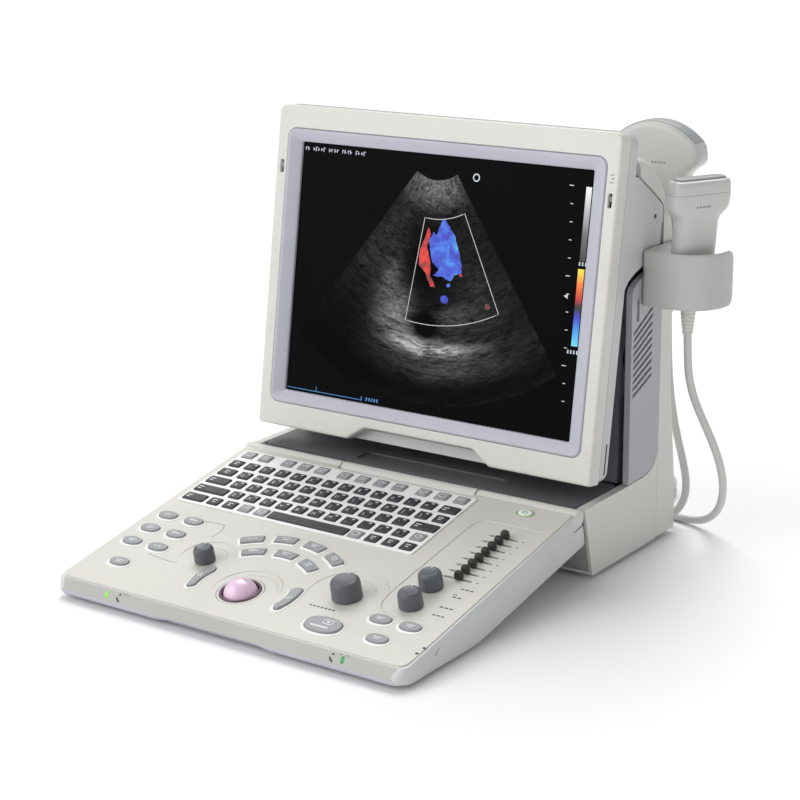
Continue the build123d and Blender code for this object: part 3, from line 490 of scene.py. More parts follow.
def lathe(bm, prof, place_axis, seg=48, mat=0, wobble=None):
    """prof: (radius, height); place_axis maps (x, y, h) to 3-D."""
    loops = []
    for r, h in prof:
        lp = []
        for i in range(seg):
            t = 2 * pi * i / seg
            rr = r if wobble is None else r + wobble(t, h)
            lp.append(place_axis(rr * cos(t), rr * sin(t), h))
        loops.append(lp)
    return loops_to(bm, loops, mat=mat)


# ------------------------------------------------------------ probe cables
LIN_X, LIN_Y, CON_X, CON_Y = 210.0, 101.0, 158.0, 164.5
COIL_A, COIL_B = (88.0, 224.0), (-40.0, 222.0)
LIN_ROUTE = [(LIN_X, LIN_Y, 200.0), (LIN_X + 0.3, LIN_Y + 1.0, 182.0), (211.0, 103.5, 162.0), (215.0, 107.0, 141.0),
             (221.8, 112.5, 121.0), (228.6, 119.5, 100.0), (232.4, 128.0, 78.0), (231.0, 138.5, 56.0),
             (224.5, 149.5, 36.0), (213.0, 160.5, 19.5), (197.5, 169.5, 8.0), (179.0, 175.0, 3.7), (158.0, 177.6, 3.6), (136.0, 179.2, 3.6),
             (114.0, 181.4, 3.6)]
LIN_OUT = [(71.0, 181.6, 17.4), (56.0, 179.0, 18.8), (42.5, 173.6, 23.0), (30.8, 165.8, 31.5),
           (22.8, 158.4, 43.5), (20.0, 155.0, 57.0)]
CON_ROUTE = [(CON_X, CON_Y, 200.0), (CON_X + 0.2, CON_Y + 0.5, 180.0), (158.6, 166.5, 156.0), (160.2, 167.0, 132.0),
             (163.8, 167.5, 108.0), (169.2, 167.2, 85.0), (176.0, 166.6, 63.5), (181.2, 165.8, 42.5),
             (179.6, 164.6, 24.5), (170.0, 163.4, 10.5), (154.0, 162.8, 4.2), (135.0, 163.2, 3.6), (112.0, 164.0, 3.6),
             (88.0, 163.2, 3.6), (64.0, 163.0, 3.6), (41.0, 164.4, 3.6), (18.0, 167.4, 3.6), (-6.0, 173.4, 3.6), (-26.0, 178.6, 3.6)]
CON_OUT = [(-50.0, 179.8, 17.4), (-64.5, 177.6, 18.8), (-77.8, 172.4, 23.0), (-89.2, 165.0, 31.5),
           (-97.2, 158.2, 43.5), (-100.0, 155.0, 57.0)]


def coil_points(c, turns, per=14):
    """Five turns: three side by side below, two in the grooves above; starts and ends at the side towards the unit."""
    pts = []
    for i in range(int(turns * per) + 1):
        t = i / per
        ang = -pi / 2 - 2 * pi * t
        if t <= 3:
            r, z = 38.4 + 3.6 * t - 0.0, 3.6
        elif t <= 3.25:
            s = (t - 3) / 0.25
            r, z = 49.2 - 6.0 * s, 3.6 + 7.0 * s
            r = 45.6
            z = 3.6 + 7.2 * s
        else:
            r, z = 45.6 - 3.6 * (t - 3.25) * 1.6, 10.8 + 0.9 * (t - 3.25)
        pts.append((c[0] + r * cos(ang), c[1] + r * sin(ang), z))
    return pts


def coil2(c):
    # turn 1-2 on the table, spreading outwards; 3-4 above, coming inwards; 5 on top
    pts = []
    per = 14
    n = 5 * per
    for i in range(n + 1):
        t = i / per
        ang = -pi / 2 - 2 * pi * t
        rr = [(0, 42.0), (0.5, 38.6), (1, 38.6), (1.5, 45.6), (2, 45.6), (2.5, 38.8), (3, 38.8), (3.5, 45.6), (4, 45.6), (4.5, 42.2), (5, 42.2)]
        zz = [(0, 3.7), (0.5, 3.7), (1, 3.7), (1.5, 3.7), (2, 3.8), (2.5, 10.8), (3, 10.8), (3.5, 10.8), (4, 10.9), (4.5, 17.4), (5, 17.5)]

        def ip(tab):
            for (a0, b0), (a1, b1) in zip(tab, tab[1:]):
                if t <= a1 + 1e-9:
                    s = (t - a0) / (a1 - a0)
                    s = s * s * (3 - 2 * s)
                    return b0 + (b1 - b0) * s
            return tab[-1][1]
        pts.append((c[0] + ip(rr) * cos(ang), c[1] + ip(rr) * sin(ang), ip(zz)))
    return pts


def cable(name, pts, cad, exit_pt, relief_node, con_node):
    cu = bpy.data.curves.new(name, "CURVE")
    cu.dimensions = "3D"
    cu.bevel_depth = 0.0035
    cu.bevel_resolution = 5
    cu.resolution_u = 10
    sp = cu.splines.new("NURBS")
    sp.points.add(len(pts) - 1)
    for q, pt in zip(sp.points, pts):
        v = U(*pt)
        q.co = (v.x, v.y, v.z, 1)
    sp.order_u = 3
    sp.use_endpoint_u = True
    cu.use_fill_caps = True
    cu.materials.append(CABLE)
    o = bpy.data.objects.new(name, cu)
    SCN.collection.objects.link(o)
    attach(o, "main_unit")
    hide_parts(*cad)
    me = bpy.data.meshes.new_from_object(o)
    bpy.data.meshes.remove(me)
    return o


def poly_len(pts):
    return sum((Vector(q) - Vector(p_)).length for p_, q in zip(pts, pts[1:])) / 1000


LIN_PTS = LIN_ROUTE + coil2(COIL_A) + LIN_OUT
CON_PTS = CON_ROUTE + coil2(COIL_B) + CON_OUT
lin_cable = cable("linear_probe_cable", LIN_PTS, ("linear_cable", "linear_coil"), None, None, None)
con_cable = cable("convex_probe_cable", CON_PTS, ("convex_cable", "convex_coil"), None, None, None)
round(poly_len(LIN_PTS) * 0.985, 2)
round(poly_len(CON_PTS) * 0.985, 2)

# ------------------------------------------------------------ keys
P = 17.7
F_KEYS = [(-158.0, 21.5), (-139.0, 21.5), (-112.6, 21.5), (-93.6, 21.5), (-74.6, 21.5), (-49.0, 21.5), (-29.4, 21.5),
          (-9.6, 21.5), (10.4, 21.5), (35.6, 21.5), (55.4, 21.5), (75.0, 21.5)]
ROW1 = [(-158.8 + P * i, 39.6) for i in range(13)]
ROW2 = [(-136.0 + P * i, 56.0) for i in range(11)] + [(58.6, 56.0)]
ROW3 = [(-130.6 + P * i, 72.4) for i in range(11)]
ROW4 = [(-119.6 + P * i, 88.8) for i in range(11)]
ROW5 = [(-131.2, 105.2), (-113.5, 105.2), (40.8, 105.2), (58.5, 105.2), (76.2, 105.2)]
GREY = [(75.6, 88.8), (-95.8, 105.2), (-78.1, 105.2), (23.1, 105.2)]
WIDE = [((74.6, 39.6), 19.0), ((-156.6, 56.0), 18.4), ((76.3, 56.0), 13.8), ((-153.6, 72.4), 24.6), ((71.4, 72.4), 26.0),
        ((-148.2, 88.8), 36.0), ((-153.6, 105.2), 24.6)]
SPACE = ((-27.5, 105.2), 84.0)
KW, KD = 13.8, 12.6
L_OVALS = [(-155.2, 140.6), (-155.2, 164.6), (-155.2, 188.4), (-126.1, 140.6), (-126.1, 164.6), (-126.1, 188.4), (-141.0, 220.7)]
R_OVALS = [(120.4, 207.3), (148.4, 207.3), (134.2, 231.8)]
BALLC = (-12.6, 217.0)
ARC_O, ARC_I = 83.0, 61.5
ARC_KEYS = [(ARC_O, -31.5), (ARC_O, -10.5), (ARC_O, 10.5), (ARC_O, 31.5), (ARC_I, -28.0), (ARC_I, 0.0), (ARC_I, 28.0)]
KNOBS = {"focus_knob": (-72.4, 189.6, 9.0, 14.0), "gain_knob": (75.3, 189.7, 12.6, 17.0),
         "mode_knob_a": (130.8, 180.6, 10.0, 15.0), "mode_knob_b": (129.6, 150.2, 10.0, 15.0)}
SLIDER_V = [60.9 + 10.0 * i for i in range(8)]
SLIDER_X = 143.5
FREEZE = (83.2, 232.6)
POWER = (136.5, 18.0)
KEY_LAY = [(0.25, -2.7), (0.0, -2.3), (0.0, 1.0), (0.12, 1.7), (0.5, 2.2), (1.0, 2.42), (1.3, 2.45), (3.0, 2.33)]


def key(bm, x, v, w, mat=0):
    pad(bm, rrect(x, v, w - 1.3, KD - 1.5, 1.3, 3), KEY_LAY, kplace, mat)


def dash(bm, x, v, w, t, h, mat, rot=0.0):
    """Short generic mark in place of a printed word."""
    c, s = cos(radians(rot)), sin(radians(rot))
    pts = rrect(0, 0, w, t, t * 0.3, 1)
    pts = [(x + a_ * c - b_ * s, v + a_ * s + b_ * c) for a_, b_ in pts]
    pad(bm, pts, [(0, h - 0.12), (0, h + 0.05)], kplace, mat)


bm = bmesh.new()
for q in ROW1 + ROW2 + ROW3 + ROW4 + ROW5:
    key(bm, q[0], q[1], KW)
for q, w in WIDE:
    key(bm, q[0], q[1], w)
rows = [(ROW1, "1234567890-="), (ROW2, "QWERTYUIOP[]"), (ROW3, "ASDFGHJKL;'"), (ROW4, "ZXCVBNM,./?")]
for row, chars in rows:
    start = 1 if row is ROW1 else 0
    for q, ch in zip(row[start:], chars):
        text_into(bm, ch, q[0] - 1.6, q[1] + 1.6, 5.6, kplace, 2.3, 2.46, 1)
        dash(bm, q[0] + 2.9, q[1] - 2.6, 3.0, 1.3, 2.42, 1)
for (q, w), n in zip(WIDE, (2, 1, 1, 2, 2, 2, 2)):
    dash(bm, q[0] - (w / 2 - 6.2) * (1 if n == 2 else 0), q[1] - 1.0, 5.4, 1.3, 2.42, 1)
    dash(bm, q[0] - (w / 2 - 5.4) * (1 if n == 2 else 0), q[1] + 2.0, 3.8, 1.3, 2.42, 1)
for q in ROW5 + ROW1[:1]:
    dash(bm, q[0], q[1] - 1.4, 5.0, 1.2, 2.42, 1)
    dash(bm, q[0], q[1] + 1.6, 3.4, 1.2, 2.42, 1)
finish_obj("letter_key_caps", bm, [KEYBLACK, LEGEND], body="letter_bank", replaces=("letter_keys",))

bm = bmesh.new()
for i, q in enumerate(F_KEYS + GREY):
    key(bm, q[0], q[1], KW)
    # each function key carries its own small abstract mark
    k_ = i % 5
    if k_ == 0:
        strip(bm, rrect(q[0], q[1], 6.6, 4.4, 1.0, 2), 0.8, 2.3, 2.46, kplace, 1, closed=True)
    elif k_ == 1:
        dash(bm, q[0], q[1] - 1.5, 7.2, 1.0, 2.42, 1)
        dash(bm, q[0], q[1] + 1.5, 7.2, 1.0, 2.42, 1)
    elif k_ == 2:
        strip(bm, oval(q[0], q[1], 2.6, 2.2, 18), 0.8, 2.3, 2.46, kplace, 1, closed=True)
        dash(bm, q[0] + 4.4, q[1], 1.8, 1.0, 2.42, 1)
    elif k_ == 3:
        dash(bm, q[0] - 2.2, q[1] - 0.6, 1.0, 4.6, 2.42, 1)
        dash(bm, q[0] + 1.8, q[1] + 0.4, 4.6, 1.0, 2.42, 1)
        dash(bm, q[0] + 1.8, q[1] - 2.2, 4.6, 1.0, 2.42, 1)
    else:
        strip(bm, rrect(q[0], q[1] - 0.4, 7.6, 3.2, 0.8, 2), 0.8, 2.3, 2.46, kplace, 1, closed=True)
        dash(bm, q[0], q[1] + 3.2, 5.0, 0.8, 2.42, 1)
finish_obj("function_key_caps", bm, [KEYGREY, LEGGREY], body="function_bank", replaces=("function_keys",))

bm = bmesh.new()
key(bm, SPACE[0][0], SPACE[0][1], SPACE[1])
finish_obj("space_bar_cap", bm, [KEYBLACK], body="space", replaces=("space_bar",))

# white field round the keys with an opening for each
bm = bmesh.new()
HO = [rrect(x, v, KW - 0.5, KD - 0.7, 1.5, 3) for x, v in F_KEYS + ROW1 + ROW2 + ROW3 + ROW4 + ROW5 + GREY]
HO += [rrect(q[0], q[1], w - 0.5, KD - 0.7, 1.5, 3) for q, w in WIDE + [SPACE]]
plate(bm, rrect(-41.2, 63.6, 254.2, 101.6, 2.8, 4), HO, [(0.9, 1.2), (0.6, 1.2), (0.15, 1.0), (0, 0.5), (0, -2.3)],
      [(0.45, 1.2), (0.3, 1.2), (0.05, 1.05), (0, 0.8), (0, -2.3)], kplace)
finish_obj("key_field", bm, [KEYWHITE], replaces=("key_surround",))


# ------------------------------------------------------------ oval, arc and set buttons
def button(bm, bw, outline, top, h=1.9):
    """Domed grey button; its pale rim goes into the second mesh."""
    pad(bm, outline, [(0.1, -2.9), (0.0, -2.5), (0.0, h * 0.45), (0.18, h * 0.8), (0.6, h), (1.1, h + 0.12), (1.4, h + 0.14), (3.0, h + 0.05)], kplace)
    o = offset(ccw(outline), -2.1)
    o2 = [(x, v + 0.9) for x, v in o]
    plate(bw, o2, [offset(ccw(outline), -0.35)], [(1.0, 0.55), (0.7, 0.55), (0.2, 0.4), (0.0, 0.02)],
          [(0.5, 0.55), (0.3, 0.55), (0.05, 0.4), (0, 0.02)], kplace)


def marks(bm, x, v, style, h, mat=1, rot=0.0, s=1.0):
    c_, s_ = cos(radians(rot)), sin(radians(rot))

    def T(a_, b_):
        return x + (a_ * c_ - b_ * s_) * s, v + (a_ * s_ + b_ * c_) * s

    def line(p0, p1, w=0.8):
        strip(bm, [T(*p0), T(*p1)], w * s, h - 0.1, h + 0.08, kplace, mat)
    if style == 0:
        strip(bm, [T(*q) for q in rrect(0, 0, 7.4, 4.2, 1, 2)], 0.8 * s, h - 0.1, h + 0.08, kplace, mat, closed=True)
        line((-2, 0), (2, 0))
    elif style == 1:
        line((-5, -1.2), (5, -1.2), 1.1)
        line((-3.4, 1.6), (3.4, 1.6), 1.1)
    elif style == 2:
        line((-4.2, 1.8), (-1.0, -1.8))
        line((-1.0, -1.8), (1.2, 1.6))
        line((1.2, 1.6), (4.2, -1.6))
    elif style == 3:
        strip(bm, [T(*q) for q in oval(0, 0, 2.4, 2.2, 20)], 0.8 * s, h - 0.1, h + 0.08, kplace, mat, closed=True)
        line((3.0, 2.2), (5.4, 2.2))
    elif style == 4:
        line((-5.6, 0), (5.6, 0), 1.6)
        line((-5.6, -2.2), (1.0, -2.2), 0.9)
    else:
        line((-4.6, 0), (-1.0, 0), 1.3)
        line((1.0, 0), (4.6, 0), 1.3)


bm, bw = bmesh.new(), bmesh.new()
for i, (x, v) in enumerate(L_OVALS + R_OVALS):
    button(bm, bw, oval(x, v, 9.7, 5.75, 44, 2.2), None)
    marks(bm, x, v, (2, 0, 1, 4, 4, 5, 1, 1, 1, 1)[i], 2.05, 1, 0, 0.8)
finish_obj("oval_button_caps", bm, [BTNGREY, LEGGREY], body="ovals", replaces=("oval_buttons",))
finish_obj("oval_button_rims", bw, [RIMWHITE])


def sector_key(r, ang, w, hgt, rc=2.2):
    """Key outline that follows the ring about the ball."""
    r0, r1 = r - hgt / 2, r + hgt / 2
    dt = (w / 2) / r
    pts = []
    n = 8
    for i in range(n + 1):
        t = radians(ang) - dt * 0.98 + 2 * dt * 0.98 * i / n
        pts.append((BALLC[0] + r1 * sin(t), BALLC[1] - r1 * cos(t)))
    for i in range(n + 1):
        t = radians(ang) + dt * 0.98 - 2 * dt * 0.98 * i / n
        pts.append((BALLC[0] + r0 * sin(t), BALLC[1] - r0 * cos(t)))
    rad = [0] * len(pts)
    for i in (0, n, n + 1, 2 * n + 1):
        rad[i] = rc
    return poly_round(pts, rad, 4)


bm, bw = bmesh.new(), bmesh.new()
for i, (r, t) in enumerate(ARC_KEYS):
    button(bm, bw, sector_key(r, t, 21.0, 9.6), None)
    x, v = BALLC[0] + r * sin(radians(t)), BALLC[1] - r * cos(radians(t))
    marks(bm, x, v, (5, 1, 1, 0, 4, 1, 0)[i], 2.05, 1, t, 0.85)
finish_obj("arc_button_caps", bm, [BTNGREY, LEGGREY], body="arcs", replaces=("arc_buttons",))
finish_obj("arc_button_rims", bw, [RIMWHITE])


def bean(sgn):
    """Set key: a fat comma that hugs the ball's ring."""
    cx, cy, R = BALLC[0], BALLC[1] - 4.0, 46.5
    pts = []
    a0, a1 = (-16, 16)
    n = 14
    for i in range(n + 1):
        t = radians(a0 + (a1 - a0) * i / n)
        w = 5.2 * (0.72 + 0.28 * (1 - i / n))
        pts.append((cx + sgn * (R + w) * cos(t), cy + (R + w) * sin(t) * 0.98))
    for i in range(1, 6):
        t = radians(a1)
        ph = pi * i / 6
        w = 5.2 * 0.72
        pts.append((cx + sgn * (R + w * cos(ph)) * cos(t), cy + (R + w * cos(ph)) * sin(t) * 0.98 + w * sin(ph)))
    for i in range(n + 1):
        t = radians(a1 - (a1 - a0) * i / n)
        w = 5.2 * (0.72 + 0.28 * (i / n))
        pts.append((cx + sgn * (R - w) * cos(t), cy + (R - w) * sin(t) * 0.98))
    for i in range(1, 6):
        t = radians(a0)
        ph = pi * i / 6
        pts.append((cx + sgn * (R - 5.2 * cos(ph)) * cos(t), cy + (R - 5.2 * cos(ph)) * sin(t) * 0.98 - 5.2 * sin(ph)))
    return pts


bm, bw = bmesh.new(), bmesh.new()
for s in (-1, 1):
    button(bm, bw, bean(s), None, 2.1)
    marks(bm, BALLC[0] + s * 46.4, BALLC[1] - 5, 1, 2.25, 1, -s * 60, 0.7)
finish_obj("set_button_caps", bm, [BTNGREY, LEGGREY], body="sets", replaces=("set_buttons",))
finish_obj("set_button_rims", bw, [RIMWHITE])

bm, bw = bmesh.new(), bmesh.new()
button(bm, bw, oval(FREEZE[0], FREEZE[1], 16.8, 10.4, 56, 2.3), None, 2.1)
strip(bm, rrect(FREEZE[0] + 3, FREEZE[1] - 3.2, 8.4, 5.4, 0.8, 2), 0.8, 2.15, 2.32, kplace, 1, closed=True)
dash(bm, FREEZE[0] + 3, FREEZE[1] - 3.2, 3.2, 2.0, 2.25, 1)
dash(bm, FREEZE[0] - 1, FREEZE[1] + 4.2, 17.0, 2.0, 2.25, 1)
finish_obj("freeze_button_cap", bm, [BTNGREY, LEGGREY], body="freeze", replaces=("freeze_button",))
finish_obj("freeze_button_rim", bw, [RIMWHITE])

bm, bw = bmesh.new(), bmesh.new()
pad(bm, oval(POWER[0], POWER[1], 6.6, 4.6, 36), [(0.1, -2.9), (0, -2.5), (0, 0.6), (0.3, 1.0), (0.9, 1.2), (2.4, 1.0)], kplace, 0)
strip(bm, oval(POWER[0], POWER[1], 2.2, 1.7, 20), 0.6, 0.95, 1.2, kplace, 1, closed=True)
finish_obj("power_button_cap", bm, [RIMWHITE, GREEND], body="power", replaces=("power_button",))
plate(bw, oval(POWER[0], POWER[1], 8.9, 6.6, 40), [oval(POWER[0], POWER[1], 6.95, 4.95, 40)], [(0.6, 0.4), (0.4, 0.4), (0, 0.02)],
      [(0.4, 0.4), (0.2, 0.4), (0, 0.02)], kplace)
finish_obj("power_button_light_ring", bw, [RINGGREEN])

# ------------------------------------------------------------ knobs, sliders and ball ring
KB = {"focus_knob": "focus", "gain_knob": "gain", "mode_knob_a": "mode_a", "mode_knob_b": "mode_b"}
for nm, (kx, kv, kr, kh) in KNOBS.items():
    bm = bmesh.new()
    H = kh + 0.6

    def wob(t, h, kr=kr, H=H):
        # shallow finger grooves down the side, fading out at top and bottom
        f = max(0.0, min(1.0, (h - 1.2) / 1.0)) * max(0.0, min(1.0, (H - 3.2 - h) / 1.5))
        return -0.32 * f * (0.5 + 0.5 * cos(24 * t))
    prof = [(kr - 0.9, 0.75), (kr - 0.15, 0.85), (kr, 1.25), (kr, 2.4), (kr - 0.1, H * 0.45), (kr - 0.25, H - 4.4), (kr - 0.55, H - 3.2), (kr - 1.2, H - 2.1),
            (kr - 2.2, H - 1.2), (kr - 3.4, H - 0.7), (kr - 3.7, H - 0.65), (kr - 4.2, H - 0.8), (kr * 0.25, H - 1.05)]
    loops = []
    seg = 96
    for r, h in prof:
        loops.append([kplace(kx + (r + wob(2 * pi * i / seg, h)) * cos(2 * pi * i / seg), kv + (r + wob(2 * pi * i / seg, h)) * sin(2 * pi * i / seg), h) for i in range(seg)])
    loops_to(bm, loops)
    # shaft below the knob
    pad(bm, oval(kx, kv, 2.95, 2.95, 24), [(0, -11.9), (0, 0.8)], kplace)
    # pointer line near the rim
    strip(bm, [(kx - (kr - 2.6) * 0.2, kv - (kr - 2.6) * 0.98), (kx - (kr - 5.6) * 0.2, kv - (kr - 5.6) * 0.98)], 0.7, H - 1.1, H - 0.55, kplace, 1)
    finish_obj(nm + "_cap", bm, [KNOB, LEGGREY], angle=40, body=KB[nm], replaces=(nm,))

for i, v in enumerate(SLIDER_V):
    bm = bmesh.new()
    pad(bm, rrect(SLIDER_X, v, 7.0, 5.8, 1.6, 4), [(0.3, 1.05), (0, 1.4), (0.05, 4.4), (0.5, 6.2), (1.2, 7.2), (1.6, 7.35), (2.2, 7.1)], kplace)
    pad(bm, rrect(SLIDER_X, v, 3.4, 1.8, 0.4, 2), [(0, -6.5), (0, 1.3)], kplace)
    strip(bm, [(SLIDER_X, v - 2.1), (SLIDER_X, v + 2.1)], 0.6, 7.0, 7.42, kplace, 1)
    finish_obj("slider_cap_%d" % (i + 1), bm, [SLIDE, INKDARK], body="tgc_%d" % (i + 1), replaces=("tgc_slider_%d" % (i + 1),))

bm = bmesh.new()
loops = []
for r, h in ((15.3, -12.0), (15.25, -2.4), (15.3, 0.0), (15.6, 0.7), (16.3, 1.1), (17.2, 0.95), (17.7, 0.3), (17.8, -0.3), (17.85, -0.05), (19.7, -0.02), (19.9, -0.4), (19.9, -12.0), (15.3, -12.0)):
    loops.append([kplace(BALLC[0] + r * cos(2 * pi * i / 72), BALLC[1] + r * sin(2 * pi * i / 72), h) for i in range(72)])
loops_to(bm, loops, cap0=False, cap1=False)
for f in bm.faces:
    c_ = sum((v_.co for v_ in f.verts), Vector()) / len(f.verts)
    q_ = c_ - kplace(BALLC[0], BALLC[1], -0.2)
    f.material_index = 1 if q_.length > 0.0182 and q_.length < 0.0198 else 0
finish_obj("ball_ring", bm, [RING, PLATE], angle=50, replaces=("trackball_ring",))

# ------------------------------------------------------------ screen
bm = bmesh.new()
pad(bm, rrect(0, 0, 304.6, 228.6, 0.6, 2), [(0, -4.5), (0, -0.12), (0.12, 0.0)], dplace)
GLASS, nt, p = new_mat("screen_glass")
tc = node(nt, "ShaderNodeTexCoord")
n1 = node(nt, "ShaderNodeTexNoise", Scale=14.0, Detail=3.0, Roughness=0.5)
nt.links.new(tc.outputs["Object"], n1.inputs["Vector"])
rm = ramp(nt, [(0.3, (0.0012, 0.0012, 0.0016)), (0.7, (0.0022, 0.0022, 0.003))])
nt.links.new(n1.outputs["Fac"], rm.inputs["Fac"])
nt.links.new(rm.outputs["Color"], p.inputs["Base Color"])
mr = node(nt, "ShaderNodeMapRange")
mr.inputs["To Min"].default_value = 0.22
mr.inputs["To Max"].default_value = 0.34
nt.links.new(n1.outputs["Fac"], mr.inputs["Value"])
nt.links.new(mr.outputs[0], p.inputs["Roughness"])
p.inputs["Specular IOR Level"].default_value = 0.03
finish_obj("screen_glass", bm, [GLASS], body="display", replaces=("lcd_panel",))

# the shown picture: thin slabs just in front of the glass, in screen millimetres
APX = (-4.3, 127.3)
SEC = radians(36.4)


def sector_slab(bm, a0, a1, r0, r1, na, nr, n0, n1, mat=0, uv=True):
    """Closed thin slab on a polar grid with a polar UV map."""
    layer = bm.loops.layers.uv.verify()
    grid = [[], []]
    for k_, n_ in ((0, n0), (1, n1)):
        for i in range(na + 1):
            row = []
            t = a0 + (a1 - a0) * i / na
            for j in range(nr + 1):
                r = r0 + (r1 - r0) * j / nr
                row.append((bm.verts.new(dplace(APX[0] + r * sin(t), APX[1] - r * cos(t), n_)), (i / na, j / nr)))
            grid[k_].append(row)

    def face(vs):
        f = bm.faces.new([q[0] for q in vs])
        f.material_index = mat
        for l_, q in zip(f.loops, vs):
            l_[layer].uv = q[1]
    for k_ in (0, 1):
        g = grid[k_]
        for i in range(na):
            for j in range(nr):
                face([g[i][j], g[i + 1][j], g[i + 1][j + 1], g[i][j + 1]])
    for i in range(na):
        for j in (0, nr):
            face([grid[0][i][j], grid[0][i + 1][j], grid[1][i + 1][j], grid[1][i][j]])
    for j in range(nr):
        for i in (0, na):
            face([grid[0][i][j], grid[0][i][j + 1], grid[1][i][j + 1], grid[1][i][j]])


# grey echo picture: speckle stretched along the arcs, bright near field, a bright band below the region of interest
ECHO, nt, p = new_mat("echo_picture")
tc = node(nt, "ShaderNodeTexCoord")
sep = node(nt, "ShaderNodeSeparateXYZ")
nt.links.new(tc.outputs["UV"], sep.inputs[0])


def mth(op, a_, b_=None, clamp=False):
    n = node(nt, "ShaderNodeMath", operation=op)
    n.use_clamp = clamp
    for i, q in enumerate((a_, b_)):
        if q is None:
            continue
        if isinstance(q, (int, float)):
            n.inputs[i].default_value = q
        else:
            nt.links.new(q, n.inputs[i])
    return n.outputs[0]


def bump2(u0, v0, su, sv, amp):
    """Soft blob of light in polar picture coordinates."""
    du = mth("DIVIDE", mth("SUBTRACT", sep.outputs[0], u0), su)
    dv = mth("DIVIDE", mth("SUBTRACT", sep.outputs[1], v0), sv)
    d2 = mth("ADD", mth("MULTIPLY", du, du), mth("MULTIPLY", dv, dv))
    return mth("MULTIPLY", mth("POWER", 2.718, mth("MULTIPLY", d2, -1.0)), amp)


def stretched(su, sv, detail, dist=0.0, seed=0.0):
    cx = node(nt, "ShaderNodeCombineXYZ")
    nt.links.new(mth("MULTIPLY", sep.outputs[0], su), cx.inputs[0])
    nt.links.new(mth("MULTIPLY", sep.outputs[1], sv), cx.inputs[1])
    cx.inputs[2].default_value = seed
    n = node(nt, "ShaderNodeTexNoise", Scale=1.0, Detail=detail, Roughness=0.72, Distortion=dist)
    nt.links.new(cx.outputs[0], n.inputs["Vector"])
    return n.outputs["Fac"]


fine = stretched(60, 150, 3.0, 0.3, 1.7)
mid = stretched(13, 46, 5.0, 0.9, 5.2)
big = stretched(5, 11, 4.0, 0.5, 9.1)
level_ = mth("ADD", 0.075, bump2(0.5, 0.03, 0.6, 0.075, 0.42))
for args in ((0.5, 0.115, 0.42, 0.03, 0.10), (0.33, 0.62, 0.09, 0.11, 0.42), (0.44, 0.73, 0.12, 0.045, 0.62), (0.59, 0.755, 0.14, 0.030, 0.70),
             (0.25, 0.48, 0.05, 0.10, 0.22), (0.66, 0.61, 0.10, 0.05, 0.20), (0.62, 0.83, 0.24, 0.06, 0.16), (0.80, 0.55, 0.10, 0.16, 0.06),
             (0.15, 0.40, 0.16, 0.20, 0.07)):
    level_ = mth("ADD", level_, bump2(*args))
for args in ((0.47, 0.36, 0.16, 0.16, -0.10), (0.50, 0.665, 0.045, 0.055, -0.42), (0.50, 0.95, 0.8, 0.07, -0.06), (0.10, 0.85, 0.2, 0.3, -0.06)):
    level_ = mth("ADD", level_, bump2(*args))
tex = mth("ADD", mth("MULTIPLY", fine, 0.55), mth("MULTIPLY", mid, 1.35))
tex = mth("ADD", tex, mth("MULTIPLY", big, 0.5))
tex = mth("SUBTRACT", tex, 0.84, True)
val = mth("MULTIPLY", mth("MAXIMUM", level_, 0.0), tex)
val = mth("POWER", mth("MULTIPLY", val, 1.9, True), 1.45)
cmb = node(nt, "ShaderNodeCombineColor")
for i in range(3):
    nt.links.new(val, cmb.inputs[i])
nt.links.new(cmb.outputs[0], p.inputs["Emission Color"])
p.inputs["Emission Strength"].default_value = 0.72
p.inputs["Base Color"].default_value = (0.002, 0.002, 0.002, 1)
p.inputs["Roughness"].default_value = 0.3
p.inputs["Specular IOR Level"].default_value = 0.02
bm = bmesh.new()
sector_slab(bm, -SEC, SEC, 35.2, 233.0, 40, 60, 0.02, 0.10)
finish_obj("echo_picture", bm, [ECHO], body="display")

LINE = glow("picture_line", "B9BCC0", 0.36, 0.1)
TEXTW = glow("picture_text", "AEB4BE", 0.42, 0.1)
BLUE, nt, p = new_mat("flow_blue")
tc = node(nt, "ShaderNodeTexCoord")
n1 = node(nt, "ShaderNodeTexNoise", Scale=70.0, Detail=5.0, Roughness=0.6, Distortion=0.4)
nt.links.new(tc.outputs["Object"], n1.inputs["Vector"])
rm = ramp(nt, [(0.36, srgb("2430A8")), (0.5, srgb("2F4FCB")), (0.6, srgb("3A7FE0")), (0.68, srgb("58BCE8"))])
nt.links.new(n1.outputs["Fac"], rm.inputs["Fac"])
nt.links.new(rm.outputs["Color"], p.inputs["Emission Color"])
p.inputs["Emission Strength"].default_value = 1.0
p.inputs["Base Color"].default_value = (0.01, 0.01, 0.05, 1)
RED, nt, p = new_mat("flow_red")
tc = node(nt, "ShaderNodeTexCoord")
n1 = node(nt, "ShaderNodeTexNoise", Scale=90.0, Detail=5.0, Roughness=0.6, Distortion=0.4)
nt.links.new(tc.outputs["Object"], n1.inputs["Vector"])
rm = ramp(nt, [(0.38, srgb("7E1416")), (0.55, srgb("D42020")), (0.7, srgb("F04A22"))])
nt.links.new(n1.outputs["Fac"], rm.inputs["Fac"])
nt.links.new(rm.outputs["Color"], p.inputs["Emission Color"])
p.inputs["Emission Strength"].default_value = 1.0
p.inputs["Base Color"].default_value = (0.05, 0.01, 0.01, 1)


def ragged(pts, amp, n_sub=4, seed=0):
    """Closed outline with pixel-like ragged edges, repeatable."""
    out = []
    s = seed
    m = len(pts)
    for i in range(m):
        p0, p1 = pts[i], pts[(i + 1) % m]
        for j in range(n_sub):
            t = j / n_sub
            s = (s * 1103515245 + 12345 + i * 7 + j) % 2147483648
            d = (s / 2147483648 - 0.5) * 2 * amp
            s = (s * 1103515245 + 12345) % 2147483648
            d2 = (s / 2147483648 - 0.5) * 2 * amp
            out.append((p0[0] + (p1[0] - p0[0]) * t + d, p0[1] + (p1[1] - p0[1]) * t + d2))
    return out


